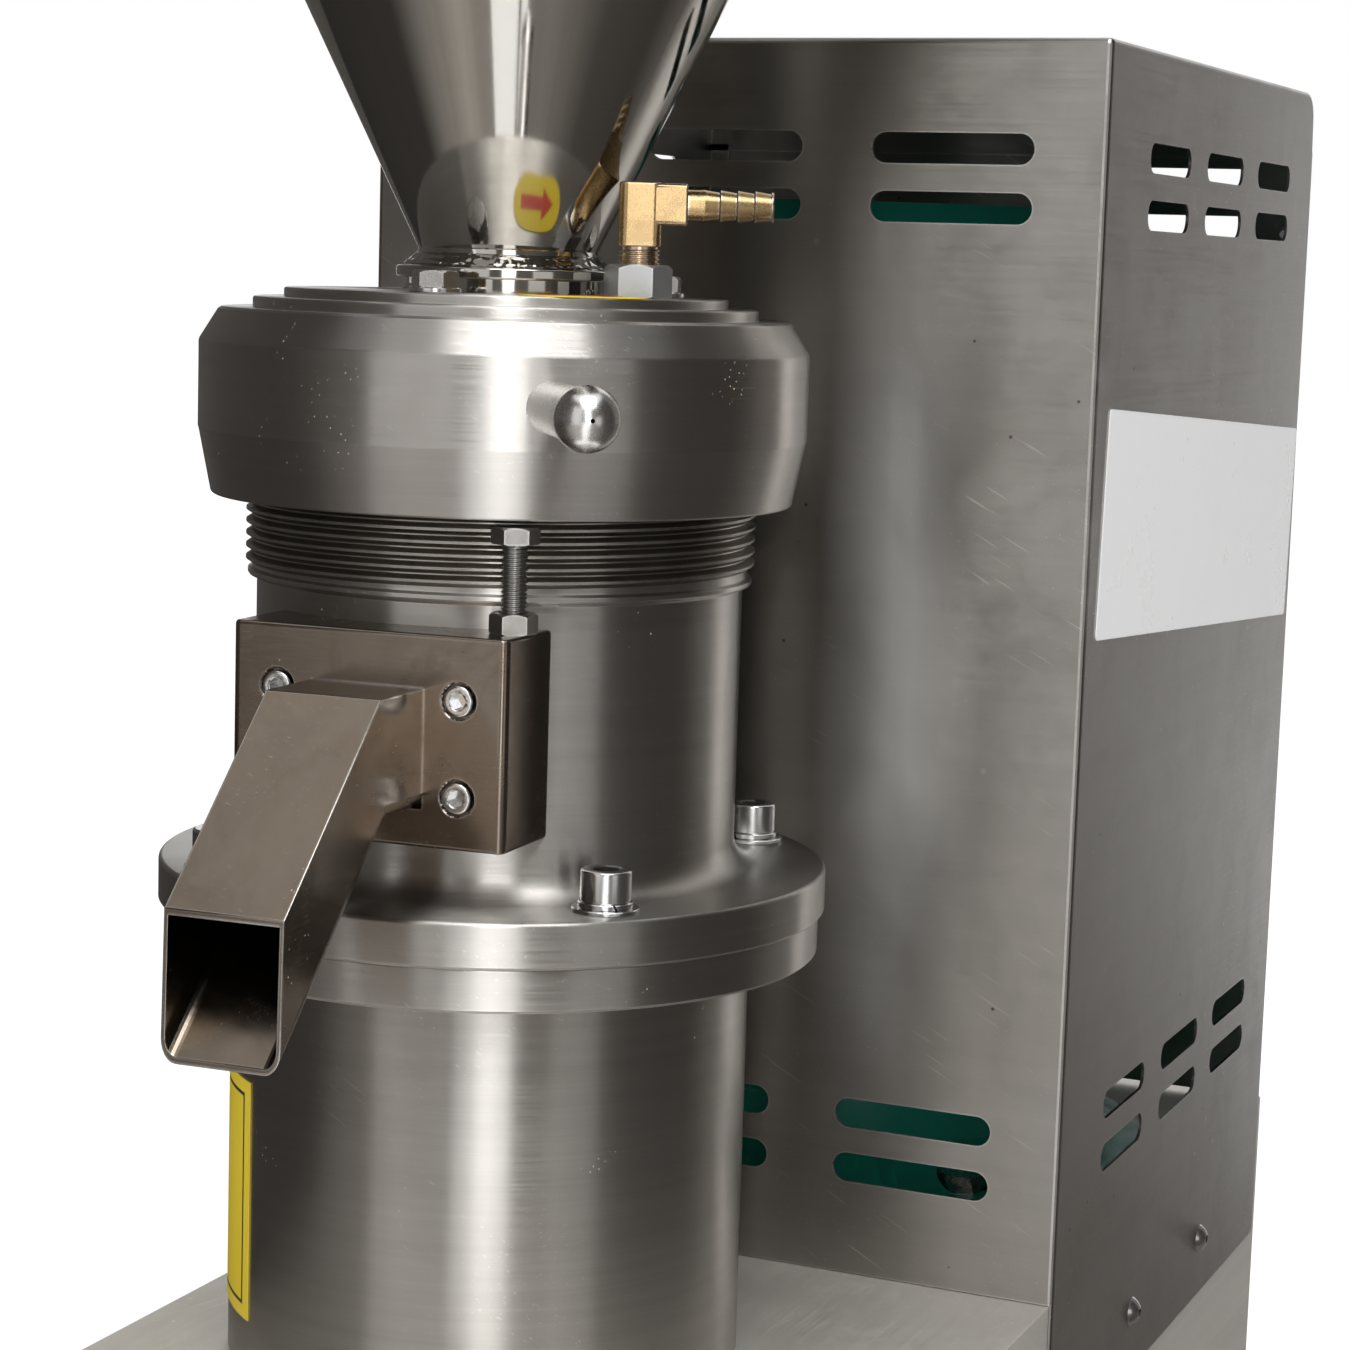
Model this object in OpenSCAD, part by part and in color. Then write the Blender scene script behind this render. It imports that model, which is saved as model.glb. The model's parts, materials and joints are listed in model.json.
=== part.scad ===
// Vertical split-type nut butter grinder: a colloid mill on a welded base,
// driven by belts from a motor under a slotted sheet cover.
// Millimetres. Origin at the centre of the base on the floor, +Z up,
// -Y is the side with the discharge chute.

/* [Base] */
// Width of the welded base, across the machine
base_w = 274; // [262:1:300]
// Length of the welded base, front to back
base_l = 596; // [590:1:640]
// Height of the deck above the floor
base_h = 230; // [200:1:300]
// Thickness of the deck plate
deck_t = 12; // [8:1:16]
// Thickness of the base side walls
base_wall = 4; // [3:0.5:6]
// Width of the foot flange that is turned inwards on the floor
foot_w = 38; // [32:1:45]
// Thickness of the foot flange
foot_t = 6; // [4:1:8]
// Diameter of the four anchor holes
anchor_d = 12; // [9:0.5:14]

/* [Mill position] */
// Spindle axis left or right of the centre of the base
mill_x = -27; // [-32:1:-20]
// Spindle axis behind or in front of the centre of the base
mill_y = -148; // [-152:1:-144]
// Turn of the bolted mill housing about the spindle
housing_turn = 3; // [0:1:6]

/* [Lower barrel] */
// Outer radius of the lower barrel
barrel_r = 86.4; // [84:0.2:90]
// Wall of the lower barrel
barrel_wall = 8; // [6:1:10]
// Height of the joint between the two barrel flanges above the deck
joint_h = 152.6; // [148:0.2:160]
// Thickness of the lower flange
flange2_t = 13.9; // [12:0.1:16]
// Radius of the lower flange
flange2_r = 109; // [108:0.5:111]

/* [Upper barrel] */
// Outer radius of the upper barrel
upper_r = 80; // [79:0.2:81]
// Radius of the chamber inside the upper barrel
chamber_r = 66; // [65:0.5:68]
// Thickness of the upper flange
flange1_t = 14.6; // [12:0.1:16]
// Radius of the upper flange
flange1_r = 111; // [110:0.5:113]
// Radius of the fillet between barrel and flange
fillet_r = 9; // [6:0.5:10]
// Crest radius of the adjusting thread
thread_r = 83.7; // [83:0.1:84.2]
// Pitch of the adjusting thread
thread_pitch = 4; // [3:0.5:5]
// Depth of the adjusting thread
thread_depth = 2.2; // [1.5:0.1:2.5]
// Height of the lowest thread above the top of the block
thread_lift = 10.6; // [9:0.1:12]
// Gap between the top of the threaded neck and the ring's roof
neck_gap = 5.9; // [4.5:0.1:8]
// Radius of the circle of the flange screws
flange_screw_pcr = 95.5; // [95:0.5:98]
// Diameter of the flange screws
flange_screw_d = 10; // [8:1:10]

/* [Discharge] */
// Width of the discharge block
block_w = 92.3; // [90:0.5:100]
// Distance of the block's face from the spindle axis
block_y = 98.1; // [96:0.5:104]
// Height of the underside of the block above the joint of the flanges
block_lift = 34.7; // [32:0.1:38]
// Height of the block
block_h = 65.1; // [62:0.1:68]
// Distance between the block's screws, across
block_screw_x = 61; // [58:1:64]
// Distance between the block's screws, up and down
block_screw_z = 29.6; // [28:1:32]
// Diameter of the block's screws
block_screw_d = 6; // [5:1:6]
// Outer width of the discharge chute
chute_w = 38; // [34:1:42]
// Sheet thickness of the chute
chute_t = 1.6; // [1.2:0.1:2]
// Height of the underside of the chute's stub above the block's underside
chute_rise = 11.7; // [10:0.1:13]
// Height of the chute's stub
chute_stub_h = 37; // [34:0.5:38]
// Distance from the spindle axis to the chute's lower bend
chute_bend_y = 120.7; // [116:0.5:126]
// Slope of the chute below the horizontal
chute_slope = 43.2; // [38:0.5:48]
// Distance from the spindle axis to the open end of the chute
chute_end_y = 187; // [178:1:195]
// Radius of the chute's lower bends
chute_bend_r = 5; // [3:0.5:7]

/* [Adjusting ring] */
// Outer radius of the adjusting ring
ring_r = 99.7; // [98:0.1:102]
// Gap between the block's top and the underside of the ring
ring_gap = 34.4; // [34:0.1:38]
// Height of the ring
ring_h = 60.1; // [56:0.1:64]
// Height of the lower taper of the ring
ring_taper_l = 21.4; // [18:0.1:24]
// Height of the upper chamfer of the ring
ring_chamfer_l = 10.6; // [8:0.1:12]
// Draw-in of the lower taper
ring_taper = 4.2; // [3:0.2:5]
// Draw-in of the upper chamfer
ring_chamfer = 6.9; // [5:0.1:8]
// Thickness of the ring's roof
roof_t = 14; // [12:0.5:15]
// Radial gap of the ring's thread over the neck
thread_gap = 0.4; // [0.35:0.05:0.6]
// Turn of the ring clockwise from the shown place, in degrees
ring_turn_cw = 110; // [60:5:110]
// Turn of the ring anticlockwise from the shown place, in degrees
ring_turn_ccw = 95; // [60:5:95]

/* [Handle] */
// Direction of the turning handle about the spindle
handle_az = -54.9; // [-60:0.1:-50]
// Distance from the spindle axis to the centre of the handle's ball
handle_reach = 160; // [150:1:164]
// Radius of the ball
handle_ball_r = 9.6; // [9:0.1:11]
// Radius of the rod
handle_rod_r = 8; // [7:0.1:8.5]

/* [Cap and hopper] */
// Radius of the lower step of the ring's cap
cap_step1_r = 82.5; // [80:0.5:86]
// Height of the lower step
cap_step1_t = 3.6; // [3:0.1:4]
// Radius of the upper step of the ring's cap
cap_step2_r = 72.5; // [70:0.5:75]
// Height of the upper step
cap_step2_t = 3.1; // [2.5:0.1:4]
// Radius of the spigot of the cap in the ring's roof
spigot_r = 62; // [60:0.5:63]
// Radius of the circle of the three cap bolts
cap_bolt_pcr = 50; // [49:0.5:52]
// Diameter of the cap bolts
cap_bolt_d = 8; // [6:1:8]
// Radius of the feed throat
throat_r = 23; // [20:0.5:24]
// Radius of the hopper's collar
collar_r = 36.3; // [35:0.1:37]
// Height of the neck between the cap and the hopper's collar
collar_gap = 4.4; // [4:0.1:6]
// Thickness of the hopper's collar
collar_t = 6.4; // [5:0.1:8]
// Radius of the bottom of the hopper's cone
cone_r = 29.2; // [28.5:0.1:30]
// Slope of the cone, radius for each mm of height
cone_slope = 0.49; // [0.4:0.01:0.6]
// Height of the cone
cone_h = 222; // [150:1:250]
// Sheet thickness of the hopper
hopper_t = 1.5; // [1.2:0.1:2.5]
// Radius of the rolled bead at the hopper's mouth
bead_r = 4; // [3:0.5:5]

/* [Cooling water] */
// Distance from the spindle axis to the water fittings
water_pcr = 49; // [48.6:0.1:49.5]
// Directions of the two water fittings about the spindle
water_az = [-5, 112];
// Turn of an elbow's arm away from the radial direction
water_turn = 30; // [0:1:35]
// Width across flats of the welded socket
water_hex_af = 19; // [17:0.5:19]
// Height of the welded socket
water_hex_h = 10.5; // [9:0.5:14]
// Diameter of the pipe thread of the elbow
water_thread_d = 13.2; // [12:0.1:13.6]
// Width of the brass elbow's body
elbow_w = 13.6; // [13.2:0.2:14]
// Height of the elbow's body
elbow_h = 20.4; // [18:0.2:24]
// Length of the elbow's side arm from its upright
elbow_arm = 15; // [14:0.5:20]
// Length of the hose barb
barb_len = 27.5; // [24:0.5:34]
// Outer diameter of the hose barb
barb_d = 10.2; // [8:0.2:12]
// Bore of the water fittings
water_bore_d = 5; // [4:0.2:6]

/* [Grinding parts] */
// Radius of the working cone at its bottom
work_low_r = 46; // [44:0.5:48]
// Radius of the working cone at its top
work_top_r = 31; // [28:0.5:34]
// Height of the bottom of the stator above the chamber floor
stator_lift = 50; // [48:1:54]
// Height of the working cone
work_h = 62; // [56:1:66]
// Distance of the stator's seal ring below the top of the threaded neck
stator_seal_drop = 37; // [32:1:40]
// Gap between rotor and stator, measured across the axis
grind_gap = 0.8; // [0.75:0.05:1.2]
// Number of milled slots in the rotor
rotor_slots = 18; // [8:1:24]
// Height of the chamber floor above the joint of the flanges
floor_lift = 43.4; // [40:0.1:45]
// Radius of the throwing disc under the rotor
disc_r = 60; // [50:1:62]

/* [Spindle] */
// Radius of the spindle in its upper bearing
spindle_r = 17.5; // [16:0.5:18]
// Radius of the spindle in its lower bearing
spindle_low_r = 15; // [13:0.5:15.5]
// Outer radius of the spindle's bearings
bearing_r = 36; // [34:0.5:38]
// Width of the spindle's bearings
bearing_w = 18; // [15:1:20]
// Running clearance of the spindle in the bearings, on the radius
run_fit = 0.05; // [0.02:0.01:0.1]

/* [Drive] */
// Motor axis behind the centre of the base
motor_y = 131; // [128:1:134]
// Radius of the motor's body over its fins
motor_r = 100; // [96:1:102]
// Radius of the motor's mounting flange
motor_flange_r = 122; // [115:1:122]
// Height of the top of the fan cowl above the deck
motor_top_h = 390; // [370:1:400]
// Outer radius of the motor's pulley
motor_pulley_r = 56; // [50:1:60]
// Outer radius of the spindle's pulley
mill_pulley_r = 40; // [38:1:44]
// Distance of the top of the pulleys below the deck's underside
pulley_drop = 34; // [30:1:45]
// Width of the pulleys
pulley_w = 40; // [38:1:44]
// Distance between the two belts
belt_pitch = 19; // [18.5:0.5:20]

/* [Cover] */
// How far the motor cover stands past the right side of the base
cover_over_r = 1.4; // [1.3:0.1:4]
// How far the motor cover stands past the left side of the base
cover_over_l = 6.8; // [5:0.1:10]
// Outer length of the motor cover
cover_l = 315; // [310:1:320]
// Distance of the cover's front in front of the centre of the base
cover_front = 26.7; // [24:0.1:28]
// Height of the cover above the deck
cover_h = 445; // [435:1:480]
// Sheet thickness of the cover
cover_t = 1.2; // [1:0.1:1.5]
// How far the cover's skirts hang below the deck
skirt = 60; // [45:1:80]
// Radius of the upper rear corner of the cover
cover_corner_r = 12; // [8:1:16]
// Length of a ventilation slot in the front
slot_l = 59.3; // [50:0.1:65]
// Height of a ventilation slot
slot_h = 10.7; // [8:0.1:12]
// Distance between the columns of slots in the front
slot_pitch = 85.4; // [80:0.1:88]
// Length of a ventilation slot in the sides
side_slot_l = 57; // [50:0.5:62]
// Distance between the columns of slots in the sides
side_slot_pitch = 81.5; // [75:0.5:84]
// Distance between two rows of slots
slot_rows = 20.3; // [18:0.1:24]
// Height of the lowest row of slots above the deck
slot_low_h = 40; // [30:1:60]
// Height of the highest row of slots above the deck
slot_high_h = 407.2; // [380:0.2:420]
// Width of the blank plate on the cover's side
sign_l = 296; // [200:1:298]
// Height of the blank plate
sign_h = 81; // [60:1:90]
// Height of the middle of the blank plate above the deck
sign_mid_h = 270; // [240:1:300]
// Angle at which the plate was stuck on, its back end lower
sign_tilt = 3.4; // [0:0.1:4]

/* [Controls] */
// Width of the switch box along the cover
box_l = 82; // [78:1:90]
// Height of the switch box
box_h = 110; // [104:1:120]
// Depth of the switch box
box_d = 52; // [46:1:60]
// Travel of the push buttons
button_travel = 4; // [2:0.5:5]

/* [Hidden] */
$fn = 96;

// Small fits shared by the parts
eps = 0.01;
seat = 0.3;             // gap that keeps faces of different bodies apart
cut = 1;                // how far a cutter runs past the face that it opens
edge = 1;               // small edge chamfer
clear_r = 0.5;          // clearance of a screw in its hole, on the radius
deck = base_h;
mill = [mill_x, mill_y];
motor = [0, motor_y];

// Heights of the mill above the deck, each from the piece that carries it
floor_h = joint_h + floor_lift;
block_low_h = joint_h + block_lift;
block_top_h = block_low_h + block_h;
chute_low_h = block_low_h + chute_rise;
ring_low_h = block_top_h + ring_gap;
ring_top_h = ring_low_h + ring_h;
ring_taper_h = ring_low_h + ring_taper_l;
ring_rim_h = ring_top_h - ring_chamfer_l;
neck_top_h = ring_top_h - roof_t - neck_gap;
thread_h = block_top_h + thread_lift;
stator_low_h = floor_h + stator_lift;
work_top_h = stator_low_h + work_h;

// Heights of the mill, from the floor
joint_z = deck + joint_h;
floor_z = deck + floor_h;
floor_t = 16;
flange1_z = joint_z + flange1_t;
ring_low_z = deck + ring_low_h;
ring_top_z = deck + ring_top_h;
roof_z = ring_top_z - roof_t;
cap_z = ring_top_z + cap_step1_t + cap_step2_t;
collar_z = cap_z + collar_gap;
cone_z = collar_z + collar_t + 3;
ring_drop = thread_pitch * ring_turn_cw / 360;
ring_lift = thread_pitch * ring_turn_ccw / 360;

// Fasteners: socket head and hexagon head by thread diameter
function socket_head_r(d) = 0.8 * d;
function hex_key_r(d) = 0.46 * d;
function hex_head_r(d) = 0.94 * d;
function hex_head_h(d) = 0.66 * d;
function nut_h(d) = 0.8 * d;

module socket_screw(d, l) {
    difference() {
        union() {
            translate([0, 0, d * 0.06]) cylinder(r = socket_head_r(d), h = d * 0.88);
            cylinder(r = socket_head_r(d) - d * 0.05, h = d);
            translate([0, 0, -l]) cylinder(d = d, h = l + eps);
        }
        translate([0, 0, d * 0.45]) cylinder(r = hex_key_r(d), h = d, $fn = 6);
    }
}

module hex_screw(d, l) {
    intersection() {
        cylinder(r = hex_head_r(d), h = hex_head_h(d), $fn = 6);
        cylinder(r1 = hex_head_r(d) * 1.1, r2 = hex_head_r(d) * 0.9, h = hex_head_h(d));
    }
    translate([0, 0, -l]) cylinder(d = d, h = l + eps);
}

module tube(r, bore, h) {
    difference() {
        cylinder(r = r, h = h);
        translate([0, 0, -cut]) cylinder(r = bore, h = h + 2 * cut);
    }
}

module slot2d(l, h) {
    square([l - h, h], center = true);
    for (s = [-1, 1]) translate([s * (l - h) / 2, 0]) circle(d = h);
}

module rounded2d(w, l, r) {
    square([w - 2 * r, l], center = true);
    square([w, l - 2 * r], center = true);
    for (sx = [-1, 1], sy = [-1, 1]) translate([sx * (w / 2 - r), sy * (l / 2 - r)]) circle(r = r);
}

module at_mill(z = 0) {
    translate([mill[0], mill[1], z]) rotate([0, 0, housing_turn]) children();
}

module at_motor(z = 0) {
    translate([motor[0], motor[1], z]) children();
}

module around(n, r, a0 = 0) {
    for (i = [0 : n - 1]) rotate([0, 0, a0 + i * 360 / n]) translate([r, 0, 0]) children();
}

// ---------------------------------------------------------------- base
pass_mill_r = 44;
pass_motor_r = 64;
housing_bolt_pcr = barrel_r - barrel_wall - 14;
housing_bolt_d = 10;
motor_bolt_pcr = motor_flange_r - 14;
motor_bolt_d = 10;
skirt_screw_d = 6;
skirt_screw_z = deck - 35;
cover_mid_y = -cover_front + cover_l / 2;
cover_w = base_w + cover_over_l + cover_over_r;
cover_x = (cover_over_r - cover_over_l) / 2;
cover_left = cover_x - cover_w / 2;
cover_right = cover_x + cover_w / 2;
side_screw_y = [cover_mid_y - 47, cover_mid_y + 58];
boss_l = -base_w / 2 - (cover_left + cover_t) - eps;
boss_r = 9;

module base_frame() {
    color([0.62, 0.60, 0.56]) difference() {
        union() {
            translate([-base_w / 2, -base_l / 2, deck - deck_t]) cube([base_w, base_l, deck_t]);
            difference() {
                translate([-base_w / 2, -base_l / 2, 0]) cube([base_w, base_l, deck - deck_t + eps]);
                translate([-base_w / 2 + base_wall, -base_l / 2 + base_wall, foot_t])
                    cube([base_w - 2 * base_wall, base_l - 2 * base_wall, deck]);
                translate([-base_w / 2 + foot_w, -base_l / 2 + foot_w, -cut])
                    cube([base_w - 2 * foot_w, base_l - 2 * foot_w, foot_t + 2 * cut]);
            }
            for (y = side_screw_y) translate([-base_w / 2 + eps, y, skirt_screw_z])
                rotate([0, -90, 0]) cylinder(r = boss_r, h = boss_l);
        }
        at_mill(deck - deck_t - cut) cylinder(r = pass_mill_r, h = deck_t + 2 * cut);
        at_mill(deck - deck_t - cut) around(4, housing_bolt_pcr, 45)
            cylinder(r = housing_bolt_d / 2 + clear_r, h = deck_t + 2 * cut);
        at_motor(deck - deck_t - cut) cylinder(r = pass_motor_r, h = deck_t + 2 * cut);
        at_motor(deck - deck_t - cut) around(4, motor_bolt_pcr, 45)
            cylinder(r = motor_bolt_d / 2 + clear_r, h = deck_t + 2 * cut);
        for (sx = [-1, 1], sy = [-1, 1])
            translate([sx * (base_w / 2 - foot_w / 2), sy * (base_l / 2 - foot_w / 2), -cut])
                cylinder(d = anchor_d, h = foot_t + 2 * cut);
        for (y = side_screw_y) translate([0, y, skirt_screw_z]) rotate([0, 90, 0])
            cylinder(d = skirt_screw_d, h = 2 * base_w, center = true);
    }
}

// ---------------------------------------------------------------- spindle housing
top_boss_z = joint_z - flange2_t - 26;
low_boss_h = 34;
boss_wall = 10;
web_t = 12;
upper_bearing_z = joint_z - bearing_w - 10;
lower_bearing_z = deck + 10;

module bearing_housing() {
    color([0.66, 0.65, 0.64]) at_mill() difference() {
        union() {
            translate([0, 0, deck]) cylinder(r = barrel_r, h = joint_h - flange2_t + eps);
            translate([0, 0, joint_z - flange2_t]) cylinder(r1 = flange2_r - edge, r2 = flange2_r, h = edge);
            translate([0, 0, joint_z - flange2_t + edge - eps]) cylinder(r = flange2_r, h = flange2_t - edge);
        }
        difference() {
            translate([0, 0, deck + web_t])
                cylinder(r = barrel_r - barrel_wall, h = joint_h - web_t - flange2_t);
            translate([0, 0, deck]) cylinder(r = bearing_r + boss_wall, h = low_boss_h);
            translate([0, 0, top_boss_z]) cylinder(r = bearing_r + boss_wall, h = joint_h);
        }
        translate([0, 0, lower_bearing_z]) cylinder(r = bearing_r, h = low_boss_h + cut);
        translate([0, 0, upper_bearing_z]) cylinder(r = bearing_r, h = joint_h);
        translate([0, 0, deck - cut]) cylinder(r = bearing_r - 6, h = joint_h);
        translate([0, 0, deck - cut]) around(4, housing_bolt_pcr, 45)
            cylinder(d = housing_bolt_d, h = web_t + 2 * cut);
        translate([0, 0, joint_z - flange2_t - cut]) around(4, flange_screw_pcr, 45)
            cylinder(d = flange_screw_d, h = flange2_t + 2 * cut);
    }
}

module housing_bolts() {
    color([0.55, 0.55, 0.55]) at_mill(deck - deck_t) around(4, housing_bolt_pcr, 45)
        rotate([180, 0, 0]) hex_screw(housing_bolt_d, deck_t + web_t - cut);
}

module ball_bearing(r, bore, w) {
    tube(r, r - 6, w);
    tube(bore + 5, bore, w);
    rotate_extrude() translate([(r - 6 + bore + 5) / 2, w / 2])
        square([r - 6 - bore - 5 + 2 * eps, w * 0.5], center = true);
}

module upper_bearing() {
    color([0.75, 0.75, 0.76]) at_mill(upper_bearing_z) ball_bearing(bearing_r, spindle_r + run_fit, bearing_w);
}

module lower_bearing() {
    color([0.75, 0.75, 0.76]) at_mill(lower_bearing_z)
        ball_bearing(bearing_r, spindle_low_r + run_fit, bearing_w);
}

module bearing_cap() {
    color([0.5, 0.5, 0.5]) at_mill(upper_bearing_z + bearing_w)
        tube(bearing_r, spindle_r + seat + 0.2, joint_z - upper_bearing_z - bearing_w);
}

// ---------------------------------------------------------------- grinding housing
thread_turns = floor((neck_top_h - thread_h) / thread_pitch);
outlet_w = chute_w - 2 * chute_t;
outlet_h = chute_stub_h - 2 * chute_t;
outlet_z = deck + chute_low_h + chute_t;

// Half section of the housing: flange, fillet, threaded neck, chamber and floor
module housing_profile() {
    root_r = thread_r - thread_depth;
    polygon([
        [seal_seat_r, floor_z - floor_t], [chamber_r, floor_z - floor_t], [chamber_r, joint_z],
        [flange1_r, joint_z], [flange1_r, flange1_z - edge], [flange1_r - edge, flange1_z],
        [upper_r, flange1_z], [upper_r, deck + thread_h - 3], [root_r, deck + thread_h - 2],
        [root_r, deck + neck_top_h - 1], [root_r - 1, deck + neck_top_h], [chamber_r, deck + neck_top_h],
        [chamber_r, floor_z], [seal_seat_r, floor_z]
    ]);
    for (i = [0 : thread_turns - 1]) translate([root_r, deck + thread_h + i * thread_pitch])
        polygon([[-cut, -0.3], [0, -0.3], [thread_depth, thread_pitch * 0.28],
            [thread_depth, thread_pitch * 0.48], [0, thread_pitch * 0.8], [-cut, thread_pitch * 0.8]]);
    difference() {
        translate([upper_r - cut, flange1_z - cut]) square(fillet_r + cut);
        translate([upper_r + fillet_r, flange1_z + fillet_r]) circle(r = fillet_r);
    }
}

module grinding_housing() {
    color([0.68, 0.67, 0.66]) at_mill() difference() {
        rotate_extrude() housing_profile();
        translate([0, -upper_r, outlet_z + outlet_h / 2])
            cube([outlet_w, 2 * (upper_r - 48), outlet_h], center = true);
        translate([0, 0, joint_z - cut]) around(4, flange_screw_pcr, 45)
            cylinder(r = flange_screw_d / 2 + clear_r, h = flange1_t + 2 * cut);
        // spot faces for the washers, cut into the fillet
        translate([0, 0, flange1_z]) around(4, flange_screw_pcr, 45)
            cylinder(r = flange_washer_r + seat, h = fillet_r + cut);
    }
}

flange_washer_t = 3.2;
flange_washer_r = flange_screw_d + 0.6;

module flange_screws() {
    color([0.8, 0.8, 0.82]) at_mill(flange1_z + flange_washer_t) around(4, flange_screw_pcr, 45)
        socket_screw(flange_screw_d, flange1_t + flange2_t + flange_washer_t - cut);
}

module flange_washers() {
    color([0.7, 0.7, 0.72]) at_mill(flange1_z) around(4, flange_screw_pcr, 45) {
        tube(flange_washer_r, flange_screw_d / 2 + seat, 1.4);
        translate([0, 0, 1.4 - eps]) tube(socket_head_r(flange_screw_d) + 0.6, flange_screw_d / 2 + seat,
            flange_washer_t - 1.4);
    }
}

seal_seat_r = 28;

module seal_seat() {
    color([0.25, 0.25, 0.27]) at_mill(floor_z - floor_t) tube(seal_seat_r, spindle_r + seat + 0.7, floor_t);
}

// ---------------------------------------------------------------- discharge
block_mid_z = deck + chute_low_h + chute_stub_h / 2 + 0.6;
block_corner = 3;
chute_pocket = 4;
counterbore_r = socket_head_r(block_screw_d) + 0.8;
screw_sink = block_screw_d - 0.8;

module block_screw_places() {
    for (sx = [-1, 1], sz = [-1, 1])
        translate([sx * block_screw_x / 2, -block_y, block_mid_z + sz * block_screw_z / 2])
            rotate([90, 0, 0]) children();
}

module discharge_block() {
    color([0.55, 0.51, 0.47]) at_mill() difference() {
        translate([0, 0, deck + block_low_h]) linear_extrude(block_top_h - block_low_h) difference() {
            translate([0, -block_y + (block_y - 40) / 2]) rounded2d(block_w, block_y - 40, block_corner);
            circle(r = upper_r);
        }
        translate([0, -block_y, outlet_z + outlet_h / 2]) cube([outlet_w, 80, outlet_h], center = true);
        translate([0, -block_y, outlet_z + outlet_h / 2])
            cube([chute_w, 2 * chute_pocket, chute_stub_h], center = true);
        block_screw_places() {
            translate([0, 0, -screw_sink]) cylinder(r = counterbore_r, h = screw_sink + cut);
            translate([0, 0, -block_y]) cylinder(d = block_screw_d, h = block_y);
        }
        translate([lock_xy[0], lock_xy[1], deck + block_top_h - lock_depth])
            cylinder(r = lock_d / 2 + run_fit, h = lock_depth + cut);
    }
}

module block_screws() {
    color([0.8, 0.8, 0.82]) at_mill() block_screw_places()
        translate([0, 0, -screw_sink]) socket_screw(block_screw_d, block_y - screw_sink - upper_r - 1.2);
}

// Side view of the chute: y to the front is negative, z is height
chute_top_h = chute_low_h + chute_stub_h;
chute_back = block_y - chute_pocket + eps;
function chute_line(y, h, y0) = h - (y - y0) * tan(chute_slope);
chute_top_bend = chute_bend_y + 6.3;
chute_end_low = chute_line(chute_end_y, chute_low_h, chute_bend_y);
chute_end_top = chute_line(chute_end_y - 1.5, chute_top_h, chute_top_bend);

module chute_side(inset, over) {
    s = inset / cos(chute_slope);
    translate([0, deck]) polygon([
        [-chute_back + over, chute_low_h + inset],
        [-chute_bend_y + inset * 0.4, chute_low_h + inset],
        [-chute_end_y - over, chute_line(chute_end_y + over, chute_low_h, chute_bend_y) + s],
        [-chute_end_y + 1.5 - over, chute_line(chute_end_y - 1.5 + over, chute_top_h, chute_top_bend) - s],
        [-chute_top_bend + inset * 0.4, chute_top_h - inset],
        [-chute_back + over, chute_top_h - inset]
    ]);
}

module chute_solid(w, inset, over) {
    rotate([90, 0, 90]) linear_extrude(w, center = true) chute_side(inset, over);
}

module discharge_chute() {
    color([0.58, 0.55, 0.50]) at_mill() difference() {
        chute_solid(chute_w, 0, 0);
        chute_solid(chute_w - 2 * chute_t, chute_t, cut);
        // rounded lower corners, bent from the sheet
        for (s = [-1, 1]) translate([s * (chute_w / 2 - chute_bend_r), 0, 0]) difference() {
            translate([s * (chute_bend_r / 2 + cut / 2), 0, 0])
                chute_corner(chute_bend_r + cut);
            chute_rod(chute_bend_r);
        }
    }
    color([0.58, 0.55, 0.50]) at_mill() for (s = [-1, 1])
        translate([s * (chute_w / 2 - chute_bend_r), 0, 0]) intersection() {
            translate([s * chute_bend_r / 2, 0, 0]) chute_corner(chute_bend_r);
            chute_solid(chute_w, 0, 0);
            difference() {
                chute_rod(chute_bend_r);
                chute_rod(chute_bend_r - chute_t);
            }
        }
}

// The sloped lower corner of the chute as a bar, and the rod that rounds it
chute_corner_l = chute_end_y - chute_bend_y + 60;

module chute_place() {
    translate([0, -chute_bend_y, deck + chute_low_h]) rotate([-chute_slope, 0, 0]) children();
}

module chute_corner(w) {
    chute_place() translate([0, -chute_corner_l / 2 - 3, (chute_bend_r - cut) / 2 - 0.01])
        cube([w, chute_corner_l, chute_bend_r + cut], center = true);
}

module chute_rod(r) {
    chute_place() translate([0, cut, chute_bend_r]) rotate([90, 0, 0])
        cylinder(r = r, h = chute_corner_l + 20, center = false);
}

// ---------------------------------------------------------------- stop bolt under the ring
lock_d = 8;
lock_az = -63.5;
lock_r = thread_r + hex_head_r(lock_d) * cos(30) + 0.4;
lock_xy = [lock_r * cos(lock_az), lock_r * sin(lock_az)];
lock_depth = 40;
lock_gap = 0.7;         // between the bolt's head and the ring at its lowest
lock_head_low_h = ring_low_h - ring_drop - lock_gap - hex_head_h(lock_d);
lock_travel = 12;

module lock_bolt() {
    color([0.72, 0.72, 0.72]) at_mill() translate([lock_xy[0], lock_xy[1], deck + lock_head_low_h])
        rotate([0, 0, lock_az + 30]) hex_screw(lock_d, lock_head_low_h - block_top_h + lock_depth - lock_travel - 2);
}

module lock_nut() {
    color([0.72, 0.72, 0.72]) at_mill() translate([lock_xy[0], lock_xy[1], deck + block_top_h + eps])
        rotate([0, 0, lock_az + 30]) difference() {
            intersection() {
                cylinder(r = hex_head_r(lock_d), h = nut_h(lock_d), $fn = 6);
                cylinder(r1 = hex_head_r(lock_d) * 1.15, r2 = hex_head_r(lock_d) * 0.92, h = nut_h(lock_d));
            }
            translate([0, 0, -cut]) cylinder(r = lock_d / 2 + run_fit, h = nut_h(lock_d) + 2 * cut);
        }
}

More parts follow.
